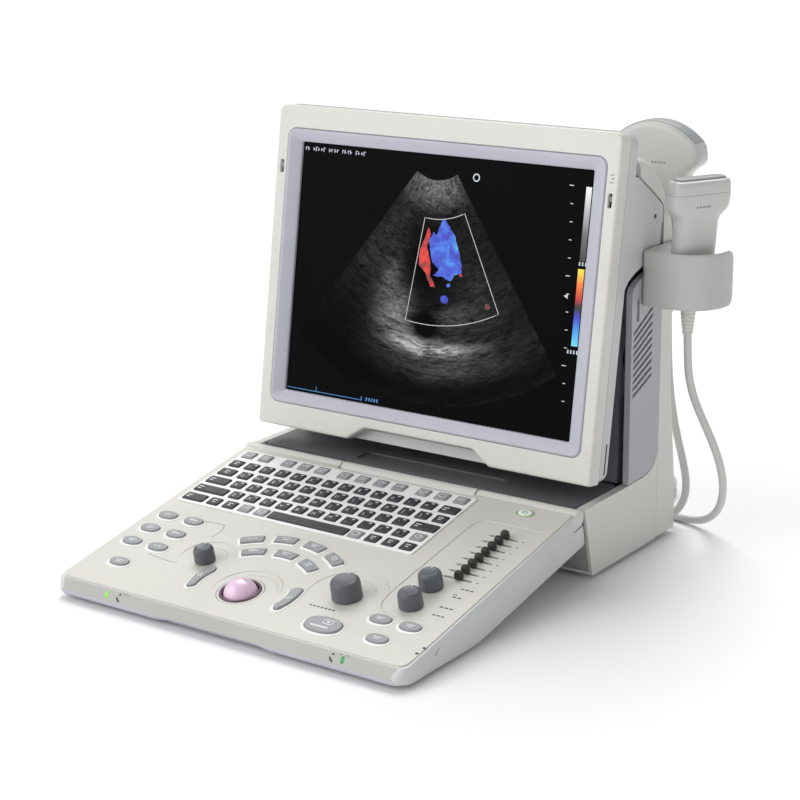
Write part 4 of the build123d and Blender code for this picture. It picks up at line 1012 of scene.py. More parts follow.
def flat_poly(bm, pts, n0, n1, place, mat=0):
    pts = ccw(pts)
    rings = [[bm.verts.new(place(x, y, h)) for x, y in pts] for h in (n0, n1)]
    n = len(pts)
    fs = []
    for i in range(n):
        fs.append(bm.faces.new((rings[0][i], rings[0][(i + 1) % n], rings[1][(i + 1) % n], rings[1][i])))
    for ring in rings:
        es = [bm.edges.get((ring[i], ring[(i + 1) % n])) for i in range(n)]
        r = bmesh.ops.triangle_fill(bm, use_beauty=True, use_dissolve=False, edges=es)
        fs += [g for g in r["geom"] if isinstance(g, bmesh.types.BMFace)]
    for f in fs:
        f.material_index = mat


bm = bmesh.new()
blue = [(6.1, 59.9), (10.0, 57.0), (13.0, 53.8), (20.1, 45.5), (25.2, 31.1), (28.6, 22.0), (29.5, 15.0), (22.6, 12.0), (18.7, 6.2), (10.3, 9.0), (0.2, 9.4), (6.0, 15.3),
        (-1.8, 20.5), (-4.5, 29.3), (-6.5, 39.7), (-3.1, 47.6), (0.5, 45.0), (2.4, 51.2)]
flat_poly(bm, ragged(blue, 0.55, 4, 11), 0.10, 0.17, dplace, 0)
flat_poly(bm, ragged(oval(13.7, -10.3, 4.2, 3.6, 14), 0.5, 1, 5), 0.10, 0.17, dplace, 0)
flat_poly(bm, ragged(oval(16.9, 2.4, 2.2, 1.8, 10), 0.4, 1, 6), 0.10, 0.17, dplace, 0)
finish_obj("flow_away", bm, [BLUE], body="display")
bm = bmesh.new()
red = [(-8.4, 50.1), (-5.6, 44.3), (-8.7, 34.9), (-6.6, 27.0), (-4.0, 20.3), (-2.4, 8.3), (3.6, -0.9), (-1.5, -0.7), (-8.5, 10.6), (-16.2, 17.4), (-16.2, 26.5), (-12.4, 39.1)]
flat_poly(bm, ragged(red[::-1], 0.5, 4, 3), 0.10, 0.17, dplace, 0)
flat_poly(bm, ragged(oval(29.0, 12.6, 1.8, 1.2, 9), 0.3, 1, 8), 0.17, 0.2, dplace, 0)
finish_obj("flow_towards", bm, [RED], body="display")
REDDIM = glow("flow_red_dim", "5A1414", 0.5, 0.4, 300)
bm = bmesh.new()
flat_poly(bm, ragged(oval(58.9, -11.4, 3.2, 2.2, 12), 0.5, 1, 9), 0.10, 0.17, dplace, 0)
finish_obj("flow_speck", bm, [REDDIM], body="display")


def polar(r, deg):
    return (APX[0] + r * sin(radians(deg)), APX[1] - r * cos(radians(deg)))


bm = bmesh.new()
roi = [polar(69, -7.5 + 35.1 * i / 14) for i in range(15)] + [polar(162, 27.6 - 35.1 * i / 20) for i in range(21)]
strip(bm, roi, 0.55, 0.11, 0.19, dplace, 0, closed=True)
# depth ticks, small pointer and focus mark
for i in range(13):
    w_ = 100.0 - 15.1 * i
    x_ = 130.6 + 0.055 * (100.0 - w_)
    strip(bm, [(x_ + (0 if i % 5 else -1.6), w_), (x_ + 2.6, w_)], 0.7, 0.05, 0.12, dplace, 0)
flat_poly(bm, [(133.0, 7.4), (137.0, 9.4), (137.0, 5.4)], 0.05, 0.12, dplace, 0)
# generic orientation mark beside the picture: a plain ring
strip(bm, oval(36.5, 98.0, 3.0, 3.0, 28), 1.1, 0.05, 0.12, dplace, 0, closed=True)
finish_obj("picture_lines", bm, [LINE], body="display")

bm = bmesh.new()
x_ = -149.5
for w_ in (5.5, 0, 8.5, 4.5, 0, 6.0, 4.0, 0, 3.5, 7.5, 0, 5.0, 6.5):
    if w_ == 0:
        x_ += 2.6
        continue
    n_ = max(2, int(w_ / 2.6))
    for j in range(n_):
        h_ = (3.4, 2.6, 3.8, 3.0)[(j + int(w_ * 2)) % 4]
        strip(bm, [(x_ + j * 2.6, 108.6 - h_ / 2), (x_ + j * 2.6, 108.6 + h_ / 2)], 0.75, 0.05, 0.12, dplace, 0)
        if (j + int(w_)) % 2:
            strip(bm, [(x_ + j * 2.6, 108.6 + h_ / 2 - 0.4), (x_ + j * 2.6 + 1.7, 108.6 + h_ / 2 - 0.4)], 0.7, 0.05, 0.12, dplace, 0)
        else:
            strip(bm, [(x_ + j * 2.6, 108.6 - 0.2), (x_ + j * 2.6 + 1.5, 108.6 - 0.2)], 0.7, 0.05, 0.12, dplace, 0)
    x_ += n_ * 2.6 + 1.0
finish_obj("picture_status_line", bm, [TEXTW], body="display")

TRACE = glow("picture_trace", "2F6FA8", 0.55, 0.15)
bm = bmesh.new()
strip(bm, [(-151.0, -111.8), (-66.0, -111.8)], 0.6, 0.05, 0.12, dplace)
strip(bm, [(-118.0, -111.8), (-118.0, -107.2)], 0.6, 0.05, 0.12, dplace)
strip(bm, [(-66.5, -112.6), (-66.5, -108.4)], 0.9, 0.05, 0.12, dplace)
for j in range(5):
    strip(bm, [(-61.0 + j * 3.0, -111.8), (-61.0 + j * 3.0, -108.8)], 1.5, 0.05, 0.12, dplace)
finish_obj("picture_trace", bm, [TRACE], body="display")


def bar_mat(name, stops):
    m, nt, p = new_mat(name)
    tc = node(nt, "ShaderNodeTexCoord")
    sp_ = node(nt, "ShaderNodeSeparateXYZ")
    nt.links.new(tc.outputs["UV"], sp_.inputs[0])
    rm = ramp(nt, stops)
    nt.links.new(sp_.outputs[1], rm.inputs["Fac"])
    nt.links.new(rm.outputs["Color"], p.inputs["Emission Color"])
    p.inputs["Emission Strength"].default_value = 1.0
    p.inputs["Base Color"].default_value = (0.003, 0.003, 0.003, 1)
    p.inputs["Roughness"].default_value = 0.3
    return m


def bar(name, x0, w0, x1, w1, m):
    bm = bmesh.new()
    lay = bm.loops.layers.uv.verify()
    n = 24
    cols = []
    for k_, n_ in ((0, 0.05), (1, 0.13)):
        cols.append([[(bm.verts.new(dplace(x, w0 + (w1 - w0) * j / n, n_)), (i, j / n)) for j in range(n + 1)] for i, x in ((0, x0), (1, x1))])

    def face(vs):
        f = bm.faces.new([q[0] for q in vs])
        for l_, q in zip(f.loops, vs):
            l_[lay].uv = q[1]
    for j in range(n):
        for k_ in (0, 1):
            face([cols[k_][0][j], cols[k_][1][j], cols[k_][1][j + 1], cols[k_][0][j + 1]])
        for i in (0, 1):
            face([cols[0][i][j], cols[0][i][j + 1], cols[1][i][j + 1], cols[1][i][j]])
    for j in (0, n):
        face([cols[0][0][j], cols[0][1][j], cols[1][1][j], cols[1][0][j]])
    finish_obj(name, bm, [m], body="display")


bar("grey_scale_bar", 145.2, 38.0, 150.6, 100.0, bar_mat("grey_scale", [(0, (0.02, 0.02, 0.02)), (0.35, (0.12, 0.12, 0.12)), (0.7, (0.5, 0.5, 0.5)), (1, (0.95, 0.95, 0.95))]))
bar("flow_scale_bar", 144.6, -33.5, 150.6, 31.5, bar_mat("flow_scale", [
    (0, srgb("6FD8F2")), (0.16, srgb("3FA0F0")), (0.36, srgb("2638C8")), (0.47, srgb("0A0A40")), (0.5, (0.0, 0.0, 0.0)), (0.53, srgb("400808")),
    (0.62, srgb("C81C14")), (0.8, srgb("F07A18")), (1, srgb("F8E840"))]))
bm = bmesh.new()
for cx_, w_ in ((150.0, 35.8), (146.5, -38.6)):
    for j in range(4):
        strip(bm, [(cx_ - 4.5 + j * 2.9, w_ - 1.6), (cx_ - 4.5 + j * 2.9, w_ + 1.6)], 1.3, 0.05, 0.12, dplace)
finish_obj("scale_digits", bm, [TEXTW], body="display")


# ------------------------------------------------------------ more helpers
def fill_prism(bm, outline, layers, place, mat=0):
    """Closed solid over any outline, ends filled by triangulation."""
    outline = ccw(outline)
    rings = [[bm.verts.new(place(x, y, h)) for x, y in offset(outline, ins)] for ins, h in layers]
    n = len(outline)
    fs = []
    for a_, b_ in zip(rings, rings[1:]):
        for i in range(n):
            fs.append(bm.faces.new((a_[i], a_[(i + 1) % n], b_[(i + 1) % n], b_[i])))
    for ring in (rings[0], rings[-1]):
        es = [bm.edges.get((ring[i], ring[(i + 1) % n])) for i in range(n)]
        r = bmesh.ops.triangle_fill(bm, use_beauty=True, use_dissolve=False, edges=es)
        fs += [g for g in r["geom"] if isinstance(g, bmesh.types.BMFace)]
    for f in fs:
        f.material_index = mat
    return fs


def ridge(bm, pts, w, h, place, mat=0, base=0.0, closed=False, taper=True):
    """Soft raised line with a half-round section, fading out at its ends."""
    n = len(pts)
    rows = []
    for i in range(n):
        p0 = pts[i - 1] if (i > 0 or closed) else pts[i]
        p2 = pts[(i + 1) % n] if (i < n - 1 or closed) else pts[i]
        dx, dy = p2[0] - p0[0], p2[1] - p0[1]
        l = hypot(dx, dy) or 1e-9
        nx, ny = -dy / l, dx / l
        f = 1.0
        if taper and not closed:
            e = min(i, n - 1 - i) / max(1.0, n * 0.18)
            f = 0.25 + 0.75 * min(1.0, e)
        row = [bm.verts.new(place(pts[i][0] - nx * w / 2, pts[i][1] - ny * w / 2, base - 0.15))]
        for k_ in range(5):
            t = pi * k_ / 4
            row.append(bm.verts.new(place(pts[i][0] - nx * w / 2 * cos(t), pts[i][1] - ny * w / 2 * cos(t), base + h * f * sin(t) + 0.02)))
        row.append(bm.verts.new(place(pts[i][0] + nx * w / 2, pts[i][1] + ny * w / 2, base - 0.15)))
        rows.append(row)
    m = n if closed else n - 1
    fs = []
    for i in range(m):
        a_, b_ = rows[i], rows[(i + 1) % n]
        for j in range(7):
            fs.append(bm.faces.new((a_[j], a_[(j + 1) % 7], b_[(j + 1) % 7], b_[j])))
    if not closed:
        fs.append(bm.faces.new(rows[0]))
        fs.append(bm.faces.new(rows[-1][::-1]))
    for f in fs:
        f.material_index = mat


def smooth_path(pts, k=8):
    """Catmull-Rom through the points."""
    out = []
    n = len(pts)
    for i in range(n - 1):
        p0 = Vector(pts[max(0, i - 1)])
        p1, p2 = Vector(pts[i]), Vector(pts[i + 1])
        p3 = Vector(pts[min(n - 1, i + 2)])
        for j in range(k):
            t = j / k
            out.append(tuple(0.5 * ((2 * p1) + (-p0 + p2) * t + (2 * p0 - 5 * p1 + 4 * p2 - p3) * t * t + (-p0 + 3 * p1 - 3 * p2 + p3) * t ** 3)))
    out.append(tuple(pts[-1]))
    return out


# ------------------------------------------------------------ display bezel and frame
bm = bmesh.new()
outer = poly_round([(178.7, 147.0), (-178.7, 147.0), (-178.7, -148.7), (-76.0, -148.7), (-57.0, -136.2), (59.0, -136.2), (77.0, -148.7), (178.7, -148.7)],
                   [9, 9, 3.5, 3.5, 5, 5, 3.5, 3.5], 7)
holes = [rrect(0, 0, 333.0, 253.0, 9.2, 7), rrect(-171.4, 90.8, 3.8, 12, 1.2, 3), rrect(171.4, 90.8, 3.8, 12, 1.2, 3)]
plate(bm, outer, holes, [(2.9, 6.0), (2.4, 5.98), (1.5, 5.75), (0.8, 5.2), (0.3, 4.3), (0.05, 3.2), (0, 2.0), (0, -7.7)],
      [(0.9, 6.0), (0.6, 6.0), (0.15, 5.75), (0, 5.3), (0, -7.7)], dplace)
finish_obj("display_bezel_shell", bm, [IVORY], body="display", replaces=("display_bezel",))

bm = bmesh.new()
prof = [(332.4, 252.4, 8.8, -0.8), (332.4, 252.4, 8.8, 5.2), (331.8, 251.8, 8.5, 6.1), (330.4, 250.4, 7.9, 6.75), (328.4, 248.4, 7.2, 6.9), (326.0, 246.0, 6.5, 6.6),
        (322.0, 242.0, 5.8, 5.9), (310.0, 234.0, 3.2, 3.3), (306.4, 230.4, 2.0, 2.5), (305.2, 229.2, 1.8, 1.9), (304.9, 228.9, 1.8, 0.4), (304.9, 228.9, 1.8, -0.8)]
rings = [[dplace(x, y, n_) for x, y in rrect(0, 0, w_, h_, r, 7)] for w_, h_, r, n_ in prof]
loops_to(bm, rings + [rings[0]], cap0=False, cap1=False)
finish_obj("screen_surround", bm, [LAV], body="display", replaces=("screen_frame",))

# small catches inside the slots, their bodies near-black as painted shade of the slots, and marks beside the right one
bm = bmesh.new()
for s in (-1, 1):
    fill_prism(bm, rrect(s * 171.4, 90.8, 3.0, 10.6, 0.9, 3), [(0, -6), (0, 2.6), (0.4, 3.0)], dplace, 0)
    fill_prism(bm, rrect(s * 171.4, 92.2, 2.2, 4.6, 0.7, 3), [(0, 3.0), (0.3, 4.6)], dplace, 1)
finish_obj("lid_catches", bm, [DARK_AND_RECESS_SHADE, BTNGREY], body="display")
bm = bmesh.new()
for i in range(3):
    strip(bm, [(170.0 + (i % 2), 112.0 - i * 3.2), (173.6, 112.0 - i * 3.2)], 0.8, 5.95, 6.06, dplace)
finish_obj("bezel_mark", bm, [INK], body="display")

# screws of the tilt arms, and the slots low in the side walls drawn as flat black patches: painted shade of the
# openings
bm = bmesh.new()
for sx in (-1, 1):
    fill_prism(bm, oval(98.5, 298.5, 2.1, 2.1, 24), [(0, 177.3), (0, 177.7), (0.5, 177.9)], lambda y, z, x, sx=sx: U(sx * x, y, z))
finish_obj("arm_screws", bm, [BLACKDOT], angle=40, body="display")
bm = bmesh.new()
for sx in (-1, 1):
    fill_prism(bm, rrect(-16.4, -127.0, 2.4, 27.0, 1.1, 4), [(0, 178.2), (0, 178.74), (0.2, 178.8)], lambda n_, w_, x, sx=sx: D(sx * x, w_, n_))
finish_obj("display_side_slots_painted_shade", bm, [BLACKDOT], angle=40, body="display")

# ------------------------------------------------------------ key plate
bm = bmesh.new()
pl = poly_round([(175.4, 5.2), (77.7, 5.2), (77.7, 9.0), (-67.2, 9.0), (-67.2, 5.2), (-175.4, 5.2), (-175.4, 255.5), (175.4, 255.5)],
                [3, 0.5, 0.5, 0.5, 0.5, 3, 10, 10], 7)
H_ = [rrect(-41.2, 63.6, 255.0, 102.4, 3, 4)]
H_ += [oval(x, v, 10.2, 6.2, 44, 2.2) for x, v in L_OVALS + R_OVALS]
H_ += [oval(FREEZE[0], FREEZE[1], 17.2, 10.8, 56, 2.3), oval(POWER[0], POWER[1], 7.0, 5.0, 36), oval(BALLC[0], BALLC[1], 20.2, 20.2, 72)]
H_ += [offset(ccw(sector_key(r, t, 21.0, 9.6)), -0.4) for r, t in ARC_KEYS]
H_ += [offset(ccw(bean(s)), -0.4) for s in (-1, 1)]
H_ += [oval(kx, kv, 3.4, 3.4, 24) for kx, kv, _, _ in KNOBS.values()]
H_ += [rrect(142.2, v, 27.0, 2.4, 1.1, 3) for v in SLIDER_V]
plate(bm, pl, H_, [(0.9, 0.0), (0.55, 0.0), (0.15, -0.15), (0, -0.5), (0, -2.4)], [(0.35, 0.0), (0.2, 0.0), (0.02, -0.12), (0, -0.4), (0, -2.4)], kplace)
finish_obj("key_plate", bm, [PLATE], replaces=("keyboard_top",))

# case: stepped rim, bevelled front edge, lip with finger notch, tapered underside
HB0 = -34.5
ZF = 2.55


def h_at(v, z):
    return (z - KEY_Z + v * sin(B)) / cos(B)


def hb(v):
    return max(HB0, h_at(v, ZF)) if v > 160 else HB0


def case_loop(hw, vr, vf, r, hfun, notch=0.0):
    pts = []
    rr = 3.0
    side_v = [vr + rr + (vf - r - vr - rr) * i / 14 for i in range(15)]
    front_x = [hw - r + (-(hw - r) * 2) * i / 60 for i in range(61)]
    # right side from rear to front, corner, front edge right to left, corner, left side, rear edge
    for v in side_v:
        pts.append((hw, v))
    for i in range(1, 9):
        t = pi / 2 * i / 8
        pts.append((hw - r + r * cos(t), vf - r + r * sin(t)))
    for x in front_x[1:-1]:
        k_ = 0.0
        if notch:
            e = min(x + 60, 44 - x)
            k_ = notch * max(0.0, min(1.0, e / 6.0 + 0.5))
        pts.append((x, vf - k_))
    for i in range(9):
        t = pi / 2 * (1 - i / 8)
        pts.append((-(hw - r + r * cos(t)), vf - r + r * sin(t)))
    for v in side_v[::-1][1:]:
        pts.append((-hw, v))
    for i in range(1, 5):
        t = pi / 2 * i / 4
        pts.append((-(hw - rr + rr * cos(t)), vr + rr - rr * sin(t)))
    for i in range(1, 12):
        pts.append((-(hw - rr) + (2 * (hw - rr)) * i / 12, vr))
    for i in range(1, 5):
        t = pi / 2 * (1 - i / 4)
        pts.append((hw - rr + rr * cos(t), vr + rr - rr * sin(t)))
    return [K(x, v, hfun(v) if callable(hfun) else hfun) for x, v in pts], pts


bm = bmesh.new()
spec = [(174.0, 9.8, 254.0, 5.0, -6.6, 0), (174.0, 9.8, 254.0, 5.0, -1.6, 0), (175.9, 9.4, 256.0, 5.8, -1.1, 0), (177.3, 9.0, 257.0, 6.6, -1.2, 0),
        (178.0, 8.7, 258.4, 7.6, -2.0, 0), (178.2, 8.6, 260.2, 8.8, -3.6, 0), (178.2, 8.6, 263.4, 11.0, -7.4, 0), (178.2, 8.6, 264.5, 11.8, -9.0, 0.0),
        (178.2, 8.6, 264.9, 12.0, -10.2, 1.0), (178.2, 8.6, 264.6, 12.0, -11.6, 2.4), (178.1, 8.6, 263.7, 12.0, -13.2, 2.6)]
lps, flat = [], []
for hw, vr, vf, r, h, nt_ in spec:
    a_, b_ = case_loop(hw, vr, vf, r, h, nt_)
    lps.append(a_)
    flat.append((b_, h))
for hw, vr, vf, r, dh, nt_ in ((178.0, 8.6, 263.0, 12.4, 99, 2.4), (178.0, -6.6, 262.9, 12.4, 98, 2.4), (177.9, -6.8, 262.0, 12.4, 2.6, 2.0), (177.0, -6.4, 260.6, 12.6, 0.9, 1.0), (175.2, -5.6, 258.6, 12.6, 0.15, 0), (173.4, -4.8, 256.6, 12.6, 0.0, 0)):
    if dh == 99:
        f_ = lambda v: max(-14.6, hb(v) + 2.2)
    elif dh == 98:
        f_ = lambda v: max(-15.2, hb(v) + 1.9)
    else:
        f_ = lambda v, dh=dh: hb(v) + dh * (1.0 if v < 240 else 0.5)
    a_, b_ = case_loop(hw, vr, vf, r, f_, nt_)
    lps.append(a_)
    flat.append((b_, None))
rings = [[bm.verts.new(p_) for p_ in lp] for lp in lps]
n = len(rings[0])
for k_, (a_, b_) in enumerate(zip(rings, rings[1:])):
    for i in range(n):
        f = bm.faces.new((a_[i], a_[(i + 1) % n], b_[(i + 1) % n], b_[i]))
        x = (flat[k_][0][i][0] + flat[k_][0][(i + 1) % n][0]) / 2
        v = (flat[k_ + 1][0][i][1] + flat[k_ + 1][0][(i + 1) % n][1]) / 2
        m_ = 0
        if v > 250 and abs(x) < 170:
            m_ = 1 if 3 <= k_ <= 6 else (2 if k_ > 6 else 0)
        f.material_index = m_
# near-black floor under the plate's openings: painted shade of the gaps round the keys and buttons
es = [bm.edges.get((rings[0][i], rings[0][(i + 1) % n])) for i in range(n)]
r = bmesh.ops.triangle_fill(bm, use_beauty=True, use_dissolve=False, edges=es)
for g in r["geom"]:
    if isinstance(g, bmesh.types.BMFace):
        g.material_index = 3
# underside: the last ring closed by triangulation
last = rings[-1]
es = [bm.edges.get((last[i], last[(i + 1) % n])) for i in range(n)]
# split along the fold line of the underside
geo = bmesh.ops.triangle_fill(bm, use_beauty=True, use_dissolve=False, edges=es)
under = [g for g in geo["geom"] if isinstance(g, bmesh.types.BMFace)]
nrm = (K(0, 1, 0) - K(0, 0, 0)).normalized()
cut = bmesh.ops.bisect_plane(bm, geom=under + list({e for f in under for e in f.edges}) + list({v for f in under for v in f.verts}), plane_co=K(0, 163.2, HB0), plane_no=nrm)
for g in cut["geom_cut"]:
    if isinstance(g, bmesh.types.BMVert):
        g.co = K(g.co.x * 1000 - OX, 163.2, HB0)
finish_obj("keyboard_case", bm, [COOL, BUMP, LAV, DARK_AND_RECESS_SHADE, IVORY], angle=28, replaces=("keyboard_bottom", "front_bumper"))

# hinge barrels of the keyboard
bm = bmesh.new()
for x0, x1 in ((-177.9, -67.4), (77.9, 177.9)):
    fill_prism(bm, [(-1.0, -13.4), (7.6, -14.4), (10.4, -13.6), (10.4, -2.4), (6.4, -1.6), (1.0, -3.2)],
               [(0.5, x0 + 0.4), (0, x0 + 0.9), (0, x1 - 0.9), (0.5, x1 - 0.4)], lambda v, h, x: K(x, v, h))
    loops = []
    for x, r in ((x0, 6.4), (x0 + 0.3, 7.2), (x0 + 1.2, 7.6), (x0 + 4, 7.6), (x1 - 4, 7.6), (x1 - 1.2, 7.6), (x1 - 0.3, 7.2), (x1, 6.4)):
        loops.append([U(x, -22.5 + r * cos(2 * pi * i / 40), 61.5 + r * sin(2 * pi * i / 40)) for i in range(40)])
    loops_to(bm, loops)
finish_obj("hinge_barrels", bm, [IVORY], angle=40)

# printed and embossed details of the plate
bm = bmesh.new()
isl = smooth_path([(172.0, 41.0), (150.0, 39.6), (118.0, 40.4), (109.5, 42.6), (105.6, 48.0), (104.2, 60.0), (103.6, 100.0), (103.0, 150.0), (103.4, 172.0), (105.8, 186.0), (112.0, 195.0), (124.0, 199.6), (138.0, 199.2)], 6)
ridge(bm, isl, 2.4, 0.8, kplace)


def arc_pts(cx, cy, r, a0, a1, n=26):
    return [(cx + r * cos(radians(a0 + (a1 - a0) * i / n)), cy - r * sin(radians(a0 + (a1 - a0) * i / n))) for i in range(n + 1)]


for (cx, cy, r1, r2, q0, q1) in ((-76.0, 184.0, 24.5, 17.0, 205, 20), (-10.0, 214.0, 30.0, 25.0, 195, 15), (71.0, 186.0, 34.0, 23.0, 205, 15)):
    ridge(bm, arc_pts(cx, cy, r1, q0, q1), 2.2, 0.6, kplace)
    ridge(bm, arc_pts(cx + 2.5, cy + 1.5, r2, q0 - 60, q1 + 6), 1.8, 0.45, kplace)
finish_obj("plate_embossing", bm, [PLATE], angle=60)

bm = bmesh.new()
strip(bm, smooth_path([(-118.4, 135.6), (-99.0, 134.3), (-95.4, 136.5), (-92.6, 145.0), (-93.4, 156.0)], 5), 0.7, -0.02, 0.05, kplace)
strip(bm, smooth_path([(-127.0, 199.9), (-104.0, 202.3), (-97.0, 202.4), (-93.6, 200.7)], 5), 0.7, -0.02, 0.05, kplace)
finish_obj("button_group_line", bm, [INK])
bm = bmesh.new()
for x, v, w in ((159.0, 143.2, 13.0), (157.5, 155.8, 9.6), (158.2, 172.3, 13.2), (158.6, 184.3, 12.4), (65.8, 210.8, 26.0), (154.0, 152.6, 4.0)):
    n_ = max(2, int(w / 3.4))
    for j in range(n_):
        dash(bm, x - w / 2 + (j + 0.5) * w / n_, v, w / n_ * 0.78, 1.5, 0.0, 0)
for i, v in enumerate(SLIDER_V):
    dash(bm, 160.6, v, 2.2, 0.9, 0.0, 0)
    dash(bm, 127.4, v, 1.4, 0.7, 0.0, 0)
finish_obj("plate_legends", bm, [INKDARK])
bm = bmesh.new()
for x, v in ((174.4, 227.1), (173.4, 235.6)):
    pad(bm, oval(x, v, 1.5, 1.2, 16), [(0, -0.3), (0, 0.1), (0.3, 0.25)], kplace)
finish_obj("plate_dots", bm, [BLACKDOT])


# lamps and arc marks on the bevelled front edge
def fplace(x, s, o):
    """On the front bevel: s runs down it from its upper crease, o stands off it."""
    p0, p1 = K(x, 258.4, -2.0), K(x, 263.6, -7.4)
    d = (p1 - p0).normalized()
    n_ = Vector((0, -1, 1)).normalized()
    nn = Vector((1, 0, 0)).cross(d).normalized()
    if nn.dot(Vector((0, -1, 0.6))) < 0:
        nn = -nn
    return p0 + d * (s / 1000) + nn * (o / 1000)


for nm, mt, mk in (("status_lamp_left", GREEN, -120.8), ("status_lamp_right", GREEND, 121.4)):
    bm = bmesh.new()
    fill_prism(bm, rrect(mk, 3.4, 3.0, 6.0, 1.2, 4), [(0, -0.3), (0, 0.15), (0.3, 0.35)], fplace)
    finish_obj(nm, bm, [mt])
bm = bmesh.new()
for mk in (-108.2, 110.6):
    strip(bm, [(mk + 2.2 - 3.2 * sin(pi * i / 10), 0.4 + 6.4 * i / 10) for i in range(11)], 1.5, -0.2, 0.12, fplace)
finish_obj("front_arc_marks", bm, [BLACKDOT])
bm = bmesh.new()
for mk in (-104.0, -100.5, 117.5, 124.0):
    strip(bm, [(mk, -0.6), (mk + 2.4, -0.6)], 0.6, -0.1, 0.08, fplace)
finish_obj("front_small_marks", bm, [INK])
# engraved mark on the right edge of the case, drawn as thin raised dark strips: painted shade of its grooves
bm = bmesh.new()
for (v, h0) in ((214.0, -7.0), (216.5, -9.0)):
    strip(bm, [(v, h0), (v + 3.5, h0 - 1.2)], 0.7, 0, 0.08, lambda a_, b_, o: K(178.2 + o, a_, b_))
finish_obj("case_side_mark_groove_shade", bm, [INKDARK])

# ------------------------------------------------------------ probe cups
bm = bmesh.new()
path = [(179.9, 138.0), (179.9, 79.2)]
path += [(179.9 + 2.6 - 2.6 * cos(radians(a_)), 79.2 - 2.6 * sin(radians(a_))) for a_ in range(18, 91, 18)]
path += [(186.0, 76.6), (192.0, 76.6), (198.0, 76.6)]
cxp = smooth_path([(203.0, 76.6), (213.5, 77.6), (224.0, 81.6), (232.8, 89.4), (238.1, 99.4), (239.8, 110.0), (239.8, 119.6)], 7)
path += cxp


def offset_open(pts, d):
    out = []
    n = len(pts)
    for i in range(n):
        p0, p2 = pts[max(0, i - 1)], pts[min(n - 1, i + 1)]
        dx, dy = p2[0] - p0[0], p2[1] - p0[1]
        l = hypot(dx, dy) or 1e-9
        out.append((pts[i][0] - dy / l * d, pts[i][1] + dx / l * d))
    return out


def wall_outline(path, t, cap=6):
    a_, b_ = offset_open(path, t / 2), offset_open(path, -t / 2)
    p0, p1 = Vector(path[-2]), Vector(path[-1])
    d = (p1 - p0).normalized()
    nrm_ = Vector((-d.y, d.x))
    endc = [tuple(p1 + nrm_ * (t / 2) * cos(pi * i / cap) + d * (t / 2) * sin(pi * i / cap)) for i in range(1, cap)]
    return a_ + endc + b_[::-1]


CUP_R = 9.0
rows = []
for ins, z in [(1.35, 225.0), (0.75, 225.3), (0.3, 225.9), (0.05, 226.8)] + [(0.0, 228.0 + i) for i in range(44)] + [(0.05, 271.3), (0.3, 272.2), (0.75, 272.8), (1.35, 273.0)]:
    d_ = max(0.0, CUP_R - min(z - 225.0, 273.0 - z))
    trim = CUP_R - sqrt(max(0.0, CUP_R * CUP_R - d_ * d_))
    pth = list(path[:-4])
    p_a, p_b = Vector(path[-5]), Vector((path[-1][0], path[-1][1] - trim * 0.9))
    pth += [tuple(p_a + (p_b - p_a) * q + Vector((0.0, 0.0))) for q in (0.3, 0.55, 0.8, 1.0)]
    rows.append((pth, ins, z))
rings = [[bm.verts.new(U(x, y, z)) for x, y in ccw(wall_outline(pth, 3.3 - 2 * ins))] for pth, ins, z in rows]
n = len(rings[0])
for a_, b_ in zip(rings, rings[1:]):
    for i in range(n):
        bm.faces.new((a_[i], a_[(i + 1) % n], b_[(i + 1) % n], b_[i]))
for ring in (rings[0], rings[-1]):
    bmesh.ops.triangle_fill(bm, use_beauty=True, use_dissolve=False, edges=[bm.edges.get((ring[i], ring[(i + 1) % n])) for i in range(n)])
# floor with the slot for the cable
fl = [(181.2, 121.0), (181.2, 78.0), (203.0, 78.2)] + [p_ for p_ in offset_open(cxp, 1.4)[4:]]
fl = offset_open(cxp, 1.3)
floor_o = [(199.0, 116.2 + 0.0), (199.0, 101.0)] + [(210 + 11 * cos(radians(a_)), 101 - 11 * sin(radians(a_))) for a_ in range(180, -1, -15)] + [(221.0, 116.2)]
floor_o += [(p_[0], p_[1]) for p_ in fl[::-1] if p_[1] < 116.2] + [(181.2, 78.0), (181.2, 116.2)]
fill_prism(bm, floor_o, [(0.4, 225.1), (0, 225.5), (0, 227.8), (0.3, 228.0)], U)
finish_obj("side_cup_shell", bm, [CUP], angle=35, body="main_unit", replaces=("side_probe_cup",))

# ------------------------------------------------------------ probes
LT = radians(62.0)


def lin_place(z):
    dx, dy = 0.0465 * (z - 228), 0.033 * (z - 228)
    ex, ey = cos(LT), sin(LT)

    def f(a_, b_):
        return U(LIN_X + dx + a_ * ex - b_ * ey, LIN_Y + dy + a_ * ey + b_ * ex, z)
    return f


def sup(a_, b_, n_, k_=56):
    pts = []
    for i in range(k_):
        t = 2 * pi * i / k_
        c_, s_ = cos(t), sin(t)
        pts.append((a_ * abs(c_) ** (2 / n_) * (1 if c_ >= 0 else -1), b_ * abs(s_) ** (2 / n_) * (1 if s_ >= 0 else -1)))
    return pts


def sample(tab, z):
    """Smooth interpolation in a table of (z, values...)."""
    for i in range(len(tab) - 1):
        if z <= tab[i + 1][0] + 1e-9:
            p1, p2 = tab[i], tab[i + 1]
            p0, p3 = tab[max(0, i - 1)], tab[min(len(tab) - 1, i + 2)]
            t = (z - p1[0]) / (p2[0] - p1[0])
            out = []
            for k_ in range(1, len(p1)):
                m1 = (p2[k_] - p0[k_]) / max(1e-6, (p2[0] - p0[0])) * (p2[0] - p1[0])
                m2 = (p3[k_] - p1[k_]) / max(1e-6, (p3[0] - p1[0])) * (p2[0] - p1[0])
                out.append((2 * t ** 3 - 3 * t * t + 1) * p1[k_] + (t ** 3 - 2 * t * t + t) * m1 + (-2 * t ** 3 + 3 * t * t) * p2[k_] + (t ** 3 - t * t) * m2)
            return out
    return list(tab[-1][1:])


